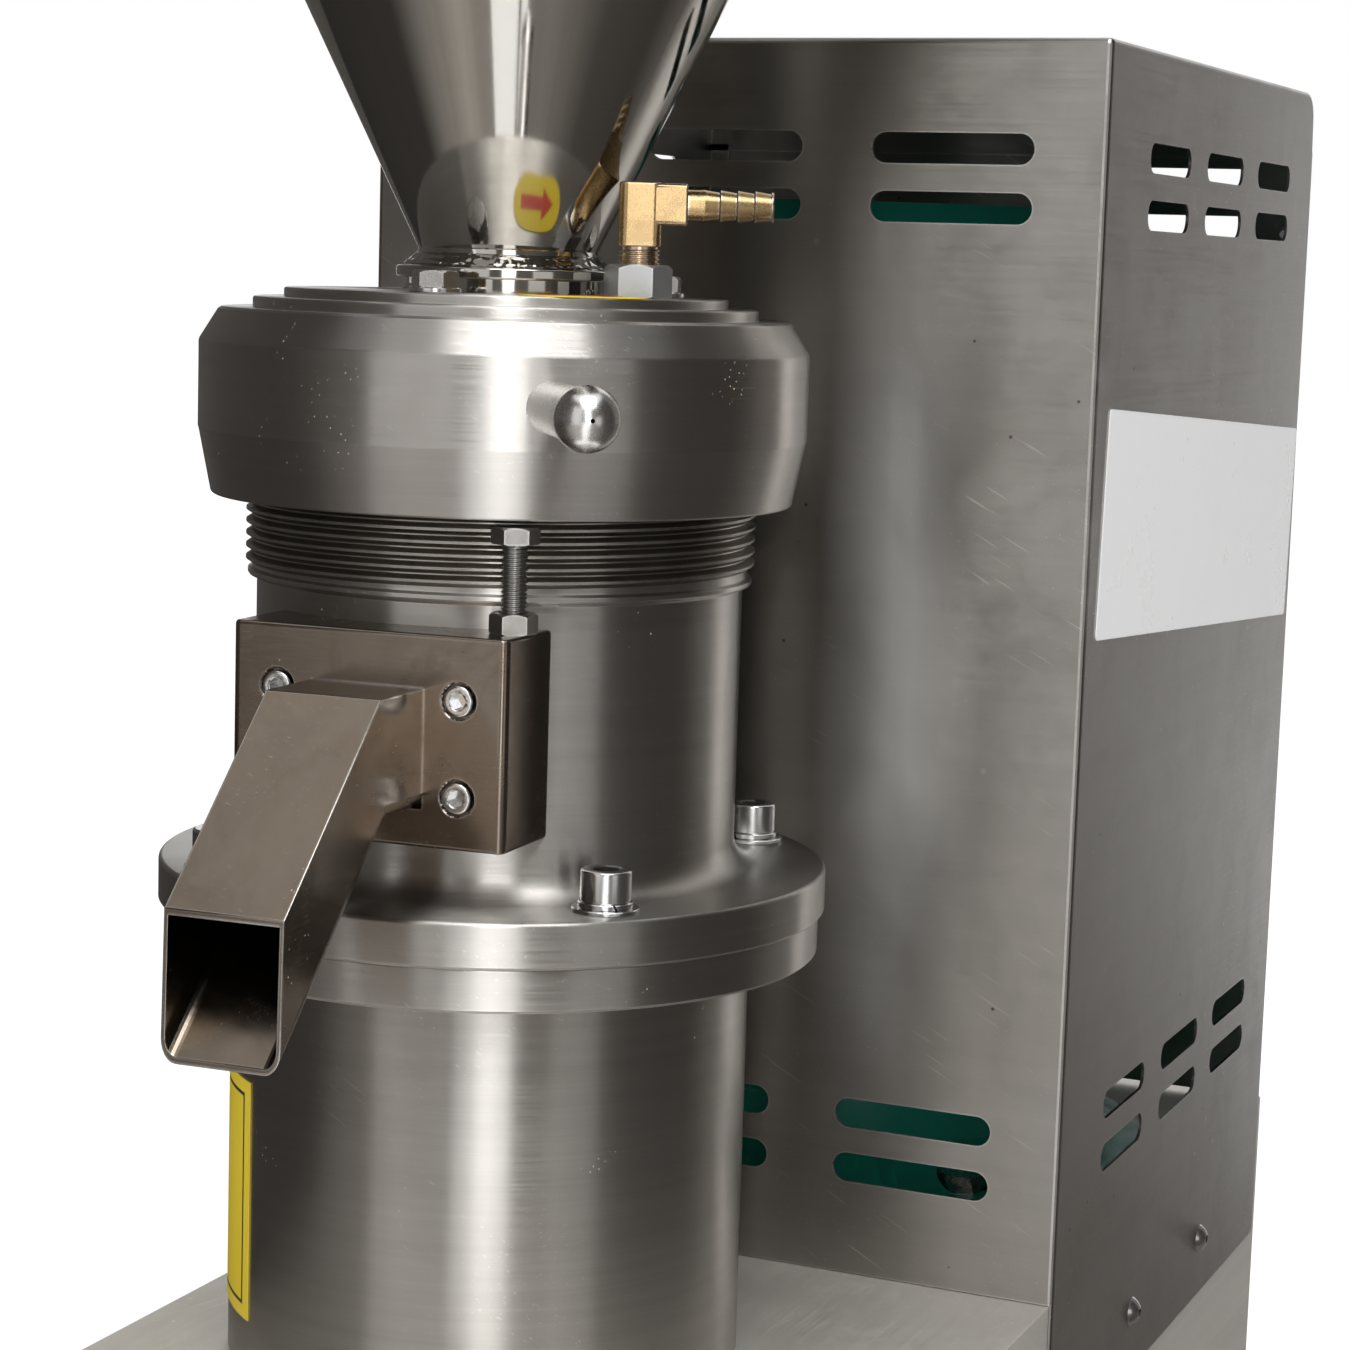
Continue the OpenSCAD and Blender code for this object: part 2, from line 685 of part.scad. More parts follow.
// ---------------------------------------------------------------- spindle
pulley_top_z = deck - deck_t - pulley_drop;
pulley_low_z = pulley_top_z - pulley_w;
shaft_low_z = pulley_low_z - 16;
shaft_step_z = lower_bearing_z + bearing_w + 20;
rotor_low_z = deck + stator_low_h;
disc_top_z = rotor_low_z - 1;
rotor_shaft_r = spindle_r - 4;
stud_r = 8;
stud_h = 14;

module spindle_shaft() {
    color([0.7, 0.7, 0.72]) at_mill() {
        translate([0, 0, shaft_low_z]) cylinder(r = spindle_low_r - 4, h = pulley_low_z - shaft_low_z + eps);
        translate([0, 0, pulley_low_z]) cylinder(r = spindle_low_r, h = shaft_step_z - pulley_low_z + eps);
        translate([0, 0, shaft_step_z]) cylinder(r = spindle_r, h = disc_low_z - shaft_step_z + eps);
        translate([0, 0, disc_low_z]) cylinder(r = rotor_shaft_r, h = deck + work_top_h - disc_low_z);
        translate([0, 0, deck + work_top_h - eps]) cylinder(r = stud_r, h = stud_h);
    }
}

seal_head_h = 14;
disc_low_z = floor_z + seat + seal_head_h + 1;
disc_t = 5;

module seal_head() {
    color([0.3, 0.3, 0.32]) at_mill(floor_z + seat) {
        tube(seal_seat_r - 3, spindle_r, seal_head_h * 0.5);
        translate([0, 0, seal_head_h * 0.5 - eps]) tube(seal_seat_r - 6, spindle_r, seal_head_h * 0.5);
    }
}

module throwing_disc() {
    color([0.62, 0.62, 0.62]) at_mill(disc_low_z) difference() {
        union() {
            cylinder(r = disc_r, h = disc_t);
            cylinder(r = rotor_shaft_r + 8, h = disc_top_z - disc_low_z);
            for (i = [0 : 3]) rotate([0, 0, i * 90 + 20]) translate([rotor_shaft_r + 4, -2.5, 0])
                cube([disc_r - rotor_shaft_r - 5, 5, disc_top_z - disc_low_z - 3]);
        }
        translate([0, 0, -cut]) cylinder(r = rotor_shaft_r, h = rotor_low_z);
    }
}

rotor_low_r = work_low_r - grind_gap;
rotor_top_r = work_top_r - grind_gap;

module grinding_rotor() {
    color([0.6, 0.6, 0.6]) at_mill(rotor_low_z) difference() {
        cylinder(r1 = rotor_low_r, r2 = rotor_top_r, h = deck + work_top_h - rotor_low_z);
        translate([0, 0, -cut]) cylinder(r = rotor_shaft_r, h = work_top_h);
        for (i = [0 : rotor_slots - 1]) rotate([0, 0, i * 360 / rotor_slots])
            translate([(rotor_low_r + rotor_top_r) / 2, 0, (deck + work_top_h - rotor_low_z) / 2])
                rotate([0, -atan((work_low_r - work_top_r) / (deck + work_top_h - rotor_low_z)), 0])
                    rotate([22, 0, 0]) cube([5, 2, 2 * (deck + work_top_h - rotor_low_z)], center = true);
    }
}

module rotor_nut() {
    color([0.7, 0.7, 0.7]) at_mill(deck + work_top_h) difference() {
        union() {
            cylinder(r = throat_r - 4, h = 6);
            translate([0, 0, 6 - eps]) cylinder(r1 = throat_r - 4, r2 = 6, h = 18);
        }
        translate([0, 0, -cut]) cylinder(r = stud_r, h = stud_h + cut);
    }
}

groove_top_w = 16.2;
groove_depth = 11;
groove_low_w = groove_top_w - 2 * groove_depth * tan(18);
belt_t = 8;
belt_w = 10;
belt_sink = 0.6;

module pulley(r, bore) {
    rotate_extrude() difference() {
        translate([bore, 0]) square([r - bore, pulley_w]);
        for (s = [-1, 1]) translate([r, pulley_w / 2 + s * belt_pitch / 2])
            polygon([[eps, -groove_top_w / 2], [eps, groove_top_w / 2], [-groove_depth, groove_low_w / 2],
                [-groove_depth, -groove_low_w / 2]]);
    }
}

module spindle_pulley() {
    color([0.3, 0.3, 0.32]) at_mill(pulley_low_z) pulley(mill_pulley_r, spindle_low_r);
}

module spindle_pulley_nut() {
    color([0.6, 0.6, 0.6]) at_mill(pulley_low_z - 10) difference() {
        cylinder(r = spindle_low_r + 4, h = 10, $fn = 6);
        translate([0, 0, -cut]) cylinder(r = spindle_low_r - 4, h = 10 + 2 * cut);
    }
}

// ---------------------------------------------------------------- adjusting ring and cap
handle_z = deck + (ring_taper_h + ring_rim_h) / 2 - 1;
handle_seat = 1;
handle_stud_r = handle_rod_r - 2;
handle_stud_l = 10;

module at_handle(x) {
    translate([mill[0], mill[1], handle_z]) rotate([0, 0, handle_az]) translate([x, 0, 0]) children();
}

module adjusting_ring() {
    bore = thread_r + thread_gap;
    color([0.70, 0.69, 0.68]) difference() {
        translate([mill[0], mill[1], 0]) rotate_extrude() polygon([
            [bore, ring_low_z + edge], [bore + edge, ring_low_z], [ring_r - ring_taper - edge, ring_low_z],
            [ring_r - ring_taper, ring_low_z + edge], [ring_r, deck + ring_taper_h],
            [ring_r, deck + ring_rim_h], [ring_r - ring_chamfer, ring_top_z], [spigot_r, ring_top_z],
            [spigot_r, roof_z], [bore, roof_z]
        ]);
        at_handle(ring_r - handle_seat) rotate([0, 90, 0]) cylinder(r = handle_rod_r, h = 10);
        at_handle(ring_r - handle_stud_l) rotate([0, 90, 0]) cylinder(r = handle_stud_r, h = 20);
    }
}

cap_bolt_az = [-90, 30, 150];

module cap_bolt_places(z) {
    translate([mill[0], mill[1], z]) for (a = cap_bolt_az) rotate([0, 0, a])
        translate([cap_bolt_pcr, 0, 0]) children();
}

module ring_cap() {
    color([0.66, 0.65, 0.64]) difference() {
        translate([mill[0], mill[1], 0]) difference() {
            union() {
                translate([0, 0, roof_z]) cylinder(r = spigot_r, h = roof_t + eps);
                translate([0, 0, ring_top_z]) cylinder(r1 = cap_step1_r, r2 = cap_step1_r - edge, h = cap_step1_t);
                translate([0, 0, ring_top_z + cap_step1_t - eps])
                    cylinder(r1 = cap_step2_r, r2 = cap_step2_r - edge, h = cap_step2_t + eps);
            }
            translate([0, 0, roof_z - cut]) cylinder(r = throat_r, h = roof_t + 20);
        }
        cap_bolt_places(roof_z - cut) cylinder(r = cap_bolt_d / 2 + clear_r, h = 60);
    }
}

stator_r = chamber_r - 0.5;
stator_seal_z = deck + neck_top_h - stator_seal_drop;
work_slope = (work_low_r - work_top_r) / work_h;
work_over = ring_drop + seat;       // how far the cone runs on above the rotor
stator_seal_h = 5;
stator_bolt_depth = 18;

module grinding_stator() {
    color([0.6, 0.6, 0.6]) difference() {
        translate([mill[0], mill[1], 0]) rotate_extrude() polygon([
            [work_low_r, rotor_low_z], [stator_r, rotor_low_z], [stator_r, stator_seal_z],
            [stator_r - 4, stator_seal_z], [stator_r - 4, stator_seal_z + stator_seal_h],
            [stator_r, stator_seal_z + stator_seal_h], [stator_r, roof_z], [throat_r, roof_z],
            [throat_r, deck + work_top_h + work_over + 12],
            [work_top_r - work_slope * work_over, deck + work_top_h + work_over]
        ]);
        cap_bolt_places(roof_z - stator_bolt_depth) cylinder(d = cap_bolt_d, h = stator_bolt_depth + cut);
    }
}

module stator_seal() {
    color([0.1, 0.1, 0.1]) translate([mill[0], mill[1], stator_seal_z + 0.4])
        tube(chamber_r - 0.2, stator_r - 3.7, stator_seal_h - 0.8);
}

cap_washer_t = 1.6;

module cap_washers() {
    color([0.7, 0.7, 0.72]) cap_bolt_places(cap_z) tube(cap_bolt_d + 0.2, cap_bolt_d / 2 + seat, cap_washer_t);
}

module cap_bolts() {
    color([0.72, 0.72, 0.72]) cap_bolt_places(cap_z + cap_washer_t) rotate([0, 0, 18])
        hex_screw(cap_bolt_d, cap_washer_t + cap_z - roof_z + stator_bolt_depth - cut);
}

cone_top_r = cone_r + cone_h * cone_slope;

module feed_hopper() {
    color([0.72, 0.71, 0.68]) translate([mill[0], mill[1], 0]) rotate_extrude() {
        polygon([
            [throat_r, cap_z], [cone_r + 1, cap_z], [cone_r + 1, collar_z], [collar_r - 2, collar_z],
            [collar_r, collar_z + 1.6], [collar_r, collar_z + 3], [cone_r + 1, collar_z + collar_t],
            [cone_r, cone_z], [cone_top_r, cone_z + cone_h], [cone_top_r - hopper_t, cone_z + cone_h],
            [cone_r - hopper_t, cone_z], [throat_r, cone_z - 6]
        ]);
        translate([cone_top_r + bead_r - hopper_t, cone_z + cone_h]) circle(r = bead_r, $fn = 32);
    }
}

module turning_handle() {
    color([0.75, 0.75, 0.76]) at_handle(0) {
        rotate([0, 90, 0]) translate([0, 0, ring_r - handle_seat])
            cylinder(r = handle_rod_r, h = handle_reach - ring_r + handle_seat);
        translate([handle_reach, 0, 0]) sphere(r = handle_ball_r);
        rotate([0, 90, 0]) translate([0, 0, ring_r - handle_stud_l + seat])
            cylinder(r = handle_stud_r, h = handle_stud_l);
    }
}

// ---------------------------------------------------------------- cooling water fittings
socket_z = cap_z + water_hex_h;
elbow_z = socket_z + 5.6;
barb_z = elbow_z + elbow_h - elbow_w / 2;
barb_end = elbow_arm + barb_len;

module water_places() {
    translate([mill[0], mill[1], 0]) for (a = water_az) rotate([0, 0, a]) translate([water_pcr, 0, 0])
        children();
}

module water_sockets() {
    color([0.62, 0.64, 0.66]) water_places() translate([0, 0, cap_z]) difference() {
        intersection() {
            rotate([0, 0, 8]) cylinder(r = water_hex_af / 2 / cos(30), h = water_hex_h, $fn = 6);
            cylinder(r1 = water_hex_af * 0.66, r2 = water_hex_af * 0.545, h = water_hex_h);
        }
        translate([0, 0, -cut]) cylinder(r = water_thread_d / 2, h = water_hex_h + 2 * cut);
    }
}

module barb_profile() {
    r = barb_d / 2;
    rib = barb_len / 6;
    polygon(concat(
        [[0, 0], [0, barb_len], [r - 0.9, barb_len]],
        [for (i = [0 : 3]) each [[r, barb_len - i * rib - 0.9], [r - 0.8, barb_len - (i + 1) * rib + 0.1]]],
        [[r - 0.8, 0]]
    ));
}

module water_elbows() {
    color([0.78, 0.62, 0.35]) water_places() rotate([0, 0, water_turn]) difference() {
        union() {
            translate([0, 0, cap_z + 1]) cylinder(r = water_thread_d / 2 - 0.6, h = elbow_z - cap_z);
            for (i = [0 : 10]) translate([0, 0, cap_z + 1 + i * 1.34]) {
                cylinder(r1 = water_thread_d / 2 - 0.6, r2 = water_thread_d / 2, h = 0.55);
                translate([0, 0, 0.55]) cylinder(r2 = water_thread_d / 2 - 0.6, r1 = water_thread_d / 2, h = 0.55);
            }
            translate([0, 0, elbow_z]) linear_extrude(elbow_h) rounded2d(elbow_w, elbow_w, 3);
            translate([0, 0, barb_z]) rotate([90, 0, 90]) linear_extrude(elbow_arm)
                rounded2d(elbow_w, elbow_w, 3);
            translate([elbow_arm - eps, 0, barb_z]) rotate([0, 90, 0]) rotate_extrude() barb_profile();
        }
        translate([0, 0, cap_z]) cylinder(d = water_bore_d, h = barb_z - cap_z);
        translate([0, 0, barb_z]) rotate([0, 90, 0]) cylinder(d = water_bore_d, h = barb_end + cut);
    }
}

// ---------------------------------------------------------------- motor
motor_shaft_r = 14;
core_r = 48;
core_z = deck + 80;
core_h = 120;
body_low_z = deck + 44;
body_top_z = deck + 280;
shield_t = 18;
cowl_t = 2;
terminal_gap = 23.1;
fin_n = 28;
body_r = motor_r - 9;
body_wall = 7;

module motor_flange() {
    color([0.10, 0.50, 0.42]) at_motor() difference() {
        union() {
            translate([0, 0, deck]) cylinder(r = motor_flange_r, h = 13);
            translate([0, 0, deck + 13 - eps]) cylinder(r1 = motor_flange_r - 6, r2 = body_r, h = 14);
            translate([0, 0, deck + 27 - 2 * eps]) cylinder(r = body_r, h = body_low_z - deck - 27);
        }
        translate([0, 0, deck - cut]) cylinder(r = motor_bearing_r, h = 200);
        translate([0, 0, deck + 28]) cylinder(r = body_r - body_wall, h = 100);
        around(4, motor_bolt_pcr, 45) translate([0, 0, deck - cut])
            cylinder(r = motor_bolt_d / 2 + clear_r, h = 60);
        around(4, motor_bolt_pcr, 45) translate([0, 0, deck + 13]) cylinder(r = motor_bolt_d, h = 60);
    }
}

module motor_bolts() {
    color([0.6, 0.6, 0.6]) at_motor(deck + 13) around(4, motor_bolt_pcr, 45)
        hex_screw(motor_bolt_d, 13 + deck_t);
}

module motor_body() {
    color([0.12, 0.55, 0.46]) at_motor(body_low_z) difference() {
        union() {
            cylinder(r = body_r, h = body_top_z - body_low_z);
            for (i = [0 : fin_n - 1]) rotate([0, 0, (i + 0.5) * 360 / fin_n])
                translate([body_r - 2, -1.5, 6]) cube([motor_r - body_r + 2, 3, cowl_z - body_low_z - 8]);
        }
        translate([0, 0, -cut]) cylinder(r = body_r - body_wall, h = body_top_z);
        translate([0, motor_r, (body_top_z - body_low_z) * 0.55]) cube([70, 22, 100], center = true);
    }
}

motor_bearing_r = 31;

module motor_winding() {
    color([0.55, 0.35, 0.2]) at_motor() {
        translate([0, 0, core_z]) tube(body_r - body_wall, core_r + 0.5, core_h);
        translate([0, 0, core_z - 22]) tube(body_r - 18, core_r + 6, 22 + eps);
        translate([0, 0, core_z + core_h - eps]) tube(body_r - 18, core_r + 6, 22);
    }
}

module motor_bearings() {
    color([0.75, 0.75, 0.76]) at_motor() for (z = [deck + 4, body_top_z - 2])
        translate([0, 0, z]) ball_bearing(motor_bearing_r, motor_shaft_r + run_fit, 16);
}

module motor_rear_shield() {
    color([0.10, 0.50, 0.42]) at_motor(body_top_z) difference() {
        cylinder(r = body_r, h = shield_t);
        translate([0, 0, -cut]) cylinder(r = motor_bearing_r, h = shield_t - 3 + cut);
        cylinder(r = motor_shaft_r + 3, h = shield_t + cut);
    }
}

cowl_z = body_top_z + seat - 20;
cowl_lug_r = (motor_r - cowl_t - body_r) / 2;

module motor_fan_cowl() {
    color([0.12, 0.58, 0.48]) at_motor(cowl_z) difference() {
        union() {
            cylinder(r = motor_r, h = deck + motor_top_h - cowl_z - 8);
            translate([0, 0, deck + motor_top_h - cowl_z - 8 - eps])
                cylinder(r1 = motor_r, r2 = motor_r - 8, h = 8);
        }
        translate([0, 0, -cut]) cylinder(r = motor_r - cowl_t, h = deck + motor_top_h - cowl_z - 8 + cut);
        translate([0, 0, deck + motor_top_h - cowl_z - 9]) cylinder(r1 = motor_r - cowl_t, r2 = motor_r - 8 - cowl_t,
            h = 9 - cowl_t);
        for (ring = [1 : 4]) around(8 * ring, 17 * ring + 8, ring * 7) cylinder(d = 8, h = 400);
    }
    color([0.12, 0.58, 0.48]) at_motor(cowl_z) around(4, body_r + seat + cowl_lug_r, 45)
        cylinder(r = cowl_lug_r, h = 12);
}

module motor_terminal_box() {
    w = 70;
    h = 96;
    lid = 8;
    // reaches out to a clearance from the rear panel
    depth = cover_back - cover_t - terminal_gap - motor_y - motor_r + 11;
    color([0.12, 0.55, 0.46]) at_motor(body_low_z + (body_top_z - body_low_z) * 0.55)
        translate([0, motor_r - 11 + eps, 0]) rotate([-90, 0, 0]) {
            linear_extrude(depth - lid) rounded2d(w - 4, h - 4, 6);
            translate([0, 0, depth - lid - eps]) linear_extrude(lid) rounded2d(w, h, 8);
        }
}

module motor_rotor() {
    color([0.5, 0.5, 0.5]) at_motor() {
        translate([0, 0, shaft_low_z + 10]) cylinder(r = motor_shaft_r, h = body_top_z + 62 - shaft_low_z - 10);
        translate([0, 0, core_z]) cylinder(r = core_r, h = core_h);
    }
}

fan_z = body_top_z + shield_t + 12;

module motor_fan() {
    color([0.15, 0.15, 0.15]) at_motor(fan_z) difference() {
        union() {
            cylinder(r = 80, h = 3);
            cylinder(r = motor_shaft_r + 7, h = 26);
            for (i = [0 : 7]) rotate([0, 0, i * 45]) translate([motor_shaft_r + 4, -1.2, 0]) cube([60, 2.4, 26]);
        }
        translate([0, 0, -cut]) cylinder(r = motor_shaft_r, h = 40);
    }
}

module motor_pulley() {
    color([0.3, 0.3, 0.32]) at_motor(pulley_low_z) pulley(motor_pulley_r, motor_shaft_r);
}

// Two belts lie in the grooves: straight runs between the tangent points of two circles
drive_c = norm(motor - mill);
drive_az = atan2(motor[1] - mill[1], motor[0] - mill[0]);

belt_steps = 24;

// Loop round both pulleys, as points: each arc runs between its two tangent points
function belt_arc(x, r, a0, a1) = [for (i = [0 : belt_steps]) let (a = a0 + (a1 - a0) * i / belt_steps)
    [x + r * cos(a), r * sin(a)]];

module belt2d(grow) {
    r1 = mill_pulley_r - belt_sink + grow;
    r2 = motor_pulley_r - belt_sink + grow;
    a = acos((r1 - r2) / drive_c);
    polygon(concat(belt_arc(0, r1, a, 360 - a), belt_arc(drive_c, r2, -a, a)));
}

module drive_belts() {
    color([0.08, 0.08, 0.08]) translate([mill[0], mill[1], pulley_low_z + pulley_w / 2])
        rotate([0, 0, drive_az]) for (s = [-1, 1]) translate([0, 0, s * belt_pitch / 2 - belt_w / 2])
            linear_extrude(belt_w) difference() {
                belt2d(0);
                belt2d(-belt_t);
            }
}

// ---------------------------------------------------------------- cover
cover_top_z = deck + cover_h;
cover_back = cover_mid_y + cover_l / 2;
cover_low_z = deck + seat;
lip = 16;
side_slot_y = cover_mid_y + 7;

module cover_side_shape(inset) {
    y0 = -cover_front + inset;
    y1 = cover_back - inset;
    r = cover_corner_r - inset;
    z1 = cover_top_z - inset;
    translate([y0, cover_low_z]) square([y1 - y0 - r, z1 - cover_low_z]);
    translate([y0, cover_low_z]) square([y1 - y0, z1 - cover_low_z - r]);
    translate([y1 - r, z1 - r]) circle(r = r);
}

module slot_rows2d(l, pitch) {
    for (i = [-1 : 1], z = [slot_low_h, slot_low_h + slot_rows, slot_high_h - slot_rows, slot_high_h])
        translate([i * pitch, z]) slot2d(l, slot_h);
}

module across(x, w) {
    translate([x, 0, 0]) rotate([90, 0, 90]) linear_extrude(w) children();
}

module motor_cover() {
    color([0.66, 0.65, 0.63]) difference() {
        union() {
            difference() {
                across(cover_left, cover_w) cover_side_shape(0);
                across(cover_left + cover_t, cover_w - 2 * cover_t) union() {
                    cover_side_shape(cover_t);
                    translate([-cover_front + cover_t, cover_low_z - cut])
                        square([cover_l - 2 * cover_t, 2 * cut]);
                }
                // opening for the rear panel
                across(cover_left + lip, cover_w - 2 * lip) translate([cover_back - 2 * cover_t, cover_low_z - cut])
                    square([4 * cover_t, cover_h - cover_corner_r - lip]);
            }
            for (x = [cover_left, cover_right - cover_t]) across(x, cover_t)
                translate([-cover_front, deck - skirt]) square([cover_l, skirt + 2]);
        }
        translate([cover_x, -cover_front, deck]) rotate([90, 0, 0])
            linear_extrude(4 * cover_t, center = true) slot_rows2d(slot_l, slot_pitch);
        translate([0, side_slot_y, deck]) rotate([90, 0, 90])
            linear_extrude(3 * cover_w, center = true) slot_rows2d(side_slot_l, side_slot_pitch);
        for (y = side_screw_y) translate([0, y, skirt_screw_z]) rotate([0, 90, 0])
            cylinder(r = skirt_screw_d / 2 + clear_r, h = 3 * cover_w, center = true);
        for (sx = [-1, 1], z = rear_screw_z) translate([cover_x + sx * rear_screw_x, cover_back, z])
            rotate([90, 0, 0]) cylinder(d = 4, h = 40, center = true);
    }
}

rear_screw_x = cover_w / 2 - lip / 2 - 1;
rear_screw_z = [deck + 40, deck + cover_h - 60];

module rear_panel() {
    color([0.66, 0.65, 0.63]) difference() {
        translate([cover_left + 2, cover_back + eps, cover_low_z + 2])
            cube([cover_w - 4, cover_t, cover_h - cover_corner_r - 4]);
        translate([cover_x, cover_back, deck]) rotate([90, 0, 0])
            linear_extrude(6 * cover_t, center = true) slot_rows2d(slot_l, slot_pitch);
        for (sx = [-1, 1], z = rear_screw_z) translate([cover_x + sx * rear_screw_x, cover_back, z])
            rotate([90, 0, 0]) cylinder(r = 2 + clear_r, h = 40, center = true);
    }
}

module dome_screw(d, l) {
    intersection() {
        translate([0, 0, -d * 0.35]) sphere(r = d);
        cylinder(r = d, h = d);
    }
    translate([0, 0, -l]) cylinder(d = d, h = l + eps);
}

module cover_screws() {
    color([0.8, 0.8, 0.82]) for (y = side_screw_y) {
        translate([cover_right, y, skirt_screw_z]) rotate([0, 90, 0]) dome_screw(skirt_screw_d, 12);
        translate([cover_left, y, skirt_screw_z]) rotate([0, -90, 0]) dome_screw(skirt_screw_d, 12);
    }
}

module rear_panel_screws() {
    color([0.8, 0.8, 0.82]) for (sx = [-1, 1], z = rear_screw_z)
        translate([cover_x + sx * rear_screw_x, cover_back + cover_t + 2 * eps, z]) rotate([-90, 0, 0])
            dome_screw(4, 8);
}

sign_z = deck + sign_mid_h;
sign_t = 0.5;
sign_back = 5;

module sign_plate() {
    color([0.90, 0.91, 0.92]) translate([cover_right + eps, cover_mid_y + sign_back, sign_z])
        rotate([-sign_tilt, 0, 0]) rotate([90, 0, 90]) linear_extrude(sign_t) rounded2d(sign_l, sign_h, 2);
}

label_t = 0.4;
label_gap = 0.05;

module curved_label(r, az, span, z, h) {
    translate([mill[0], mill[1], z]) linear_extrude(h) intersection() {
        difference() {
            circle(r = r + label_gap + label_t);
            circle(r = r + label_gap);
        }
        rotate([0, 0, az]) polygon([[0, 0], [2 * r * cos(span / 2), -2 * r * sin(span / 2)],
            [2 * r * cos(span / 2), 2 * r * sin(span / 2)]]);
    }
}

barrel_label_az = -155;

module barrel_label() {
    color([0.92, 0.80, 0.10]) curved_label(barrel_r, barrel_label_az, 58, deck + 17.5, 80);
}

module arrow_label() {
    color([0.92, 0.80, 0.10]) translate([mill[0], mill[1], cap_z + eps]) linear_extrude(label_t)
        intersection() {
            difference() {
                circle(r = 66);
                circle(r = 54);
            }
            rotate([0, 0, -48]) polygon([[0, 0], [140 * cos(24), -140 * sin(24)], [140 * cos(24), 140 * sin(24)]]);
        }
}

// ---------------------------------------------------------------- controls
box_y = cover_mid_y - 70;
box_z = deck + 255;
box_wall = 3;
lid_t = 4;
button_z = [24, -24];
button_r = 11;
button_hole_r = 14;

module at_box(x) {
    translate([cover_left - x, box_y, box_z]) rotate([90, 0, -90]) children();
}

module switch_box() {
    color([0.75, 0.76, 0.76]) at_box(0) difference() {
        linear_extrude(box_d - lid_t) rounded2d(box_l, box_h, 6);
        translate([0, 0, box_wall]) linear_extrude(box_d) rounded2d(box_l - 2 * box_wall, box_h - 2 * box_wall, 4);
        translate([0, -box_h / 2, (box_d - lid_t) / 2]) rotate([90, 0, 0])
            cylinder(r = gland_r, h = 20, center = true);
    }
}

module switch_box_lid() {
    color([0.72, 0.73, 0.73]) at_box(box_d - lid_t + eps) difference() {
        linear_extrude(lid_t) rounded2d(box_l, box_h, 6);
        for (z = button_z) translate([0, z, -cut]) cylinder(r = button_hole_r, h = lid_t + 2 * cut);
    }
}

collar_h = 5;

module button_collars() {
    color([0.75, 0.75, 0.76]) for (z = button_z) at_box(box_d) translate([0, z, 0]) {
        translate([0, 0, eps]) tube(button_hole_r + 3, button_r + seat, collar_h);
        translate([0, 0, -lid_t - 14]) tube(button_hole_r, button_r + seat, lid_t + 14 + 2 * eps);
        translate([0, 0, -lid_t - 18]) cylinder(r = button_hole_r, h = 4 + eps);
    }
}

module push_button(z, cap_r, cap_out) {
    at_box(box_d) translate([0, z, 0]) {
        translate([0, 0, -lid_t - 14 + button_travel + seat])
            cylinder(r = button_r, h = lid_t + 14 - button_travel - seat + collar_h + button_travel);
        translate([0, 0, collar_h + button_travel - eps + seat]) {
            cylinder(r = cap_r, h = cap_out - 2);
            translate([0, 0, cap_out - 2 - eps]) cylinder(r1 = cap_r, r2 = cap_r - 2, h = 2);
        }
        translate([0, 0, collar_h]) cylinder(r = button_r, h = button_travel + 2 * seat);
    }
}

module start_button() {
    color([0.10, 0.55, 0.25]) push_button(button_z[0], button_r, 3);
}

module stop_button() {
    color([0.80, 0.10, 0.08]) push_button(button_z[1], 17, 9);
}

gland_r = 8;

module cable_gland() {
    color([0.12, 0.12, 0.12]) at_box((box_d - lid_t) / 2) translate([0, -box_h / 2, 0])
        rotate([90, 0, 0]) difference() {
            union() {
                translate([0, 0, eps]) cylinder(r = gland_r + 4, h = 6, $fn = 6);
                translate([0, 0, 6]) cylinder(r1 = gland_r + 2.5, r2 = gland_r - 1, h = 14);
                translate([0, 0, -box_wall - 5]) cylinder(r = gland_r, h = box_wall + 5 + 2 * eps);
                translate([0, 0, -box_wall - 5]) cylinder(r = gland_r + 3, h = 5 - eps, $fn = 6);
            }
            translate([0, 0, -box_wall - 6]) cylinder(r = 4, h = 40);
        }
}

base_frame();
bearing_housing();
housing_bolts();
upper_bearing();
lower_bearing();
bearing_cap();
grinding_housing();
flange_screws();
flange_washers();
seal_seat();
discharge_block();
block_screws();
discharge_chute();
lock_bolt();
lock_nut();
spindle_shaft();
seal_head();
throwing_disc();
grinding_rotor();
rotor_nut();
spindle_pulley();
spindle_pulley_nut();
adjusting_ring();
ring_cap();
grinding_stator();
stator_seal();
cap_bolts();
cap_washers();
feed_hopper();
turning_handle();
water_sockets();
water_elbows();
motor_body();
motor_flange();
motor_winding();
motor_bearings();
motor_rear_shield();
motor_fan_cowl();
motor_terminal_box();
motor_bolts();
motor_rotor();
motor_fan();
motor_pulley();
drive_belts();
motor_cover();
rear_panel();
cover_screws();
rear_panel_screws();
sign_plate();
barrel_label();
arrow_label();
switch_box();
switch_box_lid();
start_button();
stop_button();
button_collars();
cable_gland();
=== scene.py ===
"""A nut butter grinder: an upright mill with a hopper, an adjusting ring and a chute, beside a slotted motor cover."""

import json
import math

import bpy
from mathutils import Matrix, Vector

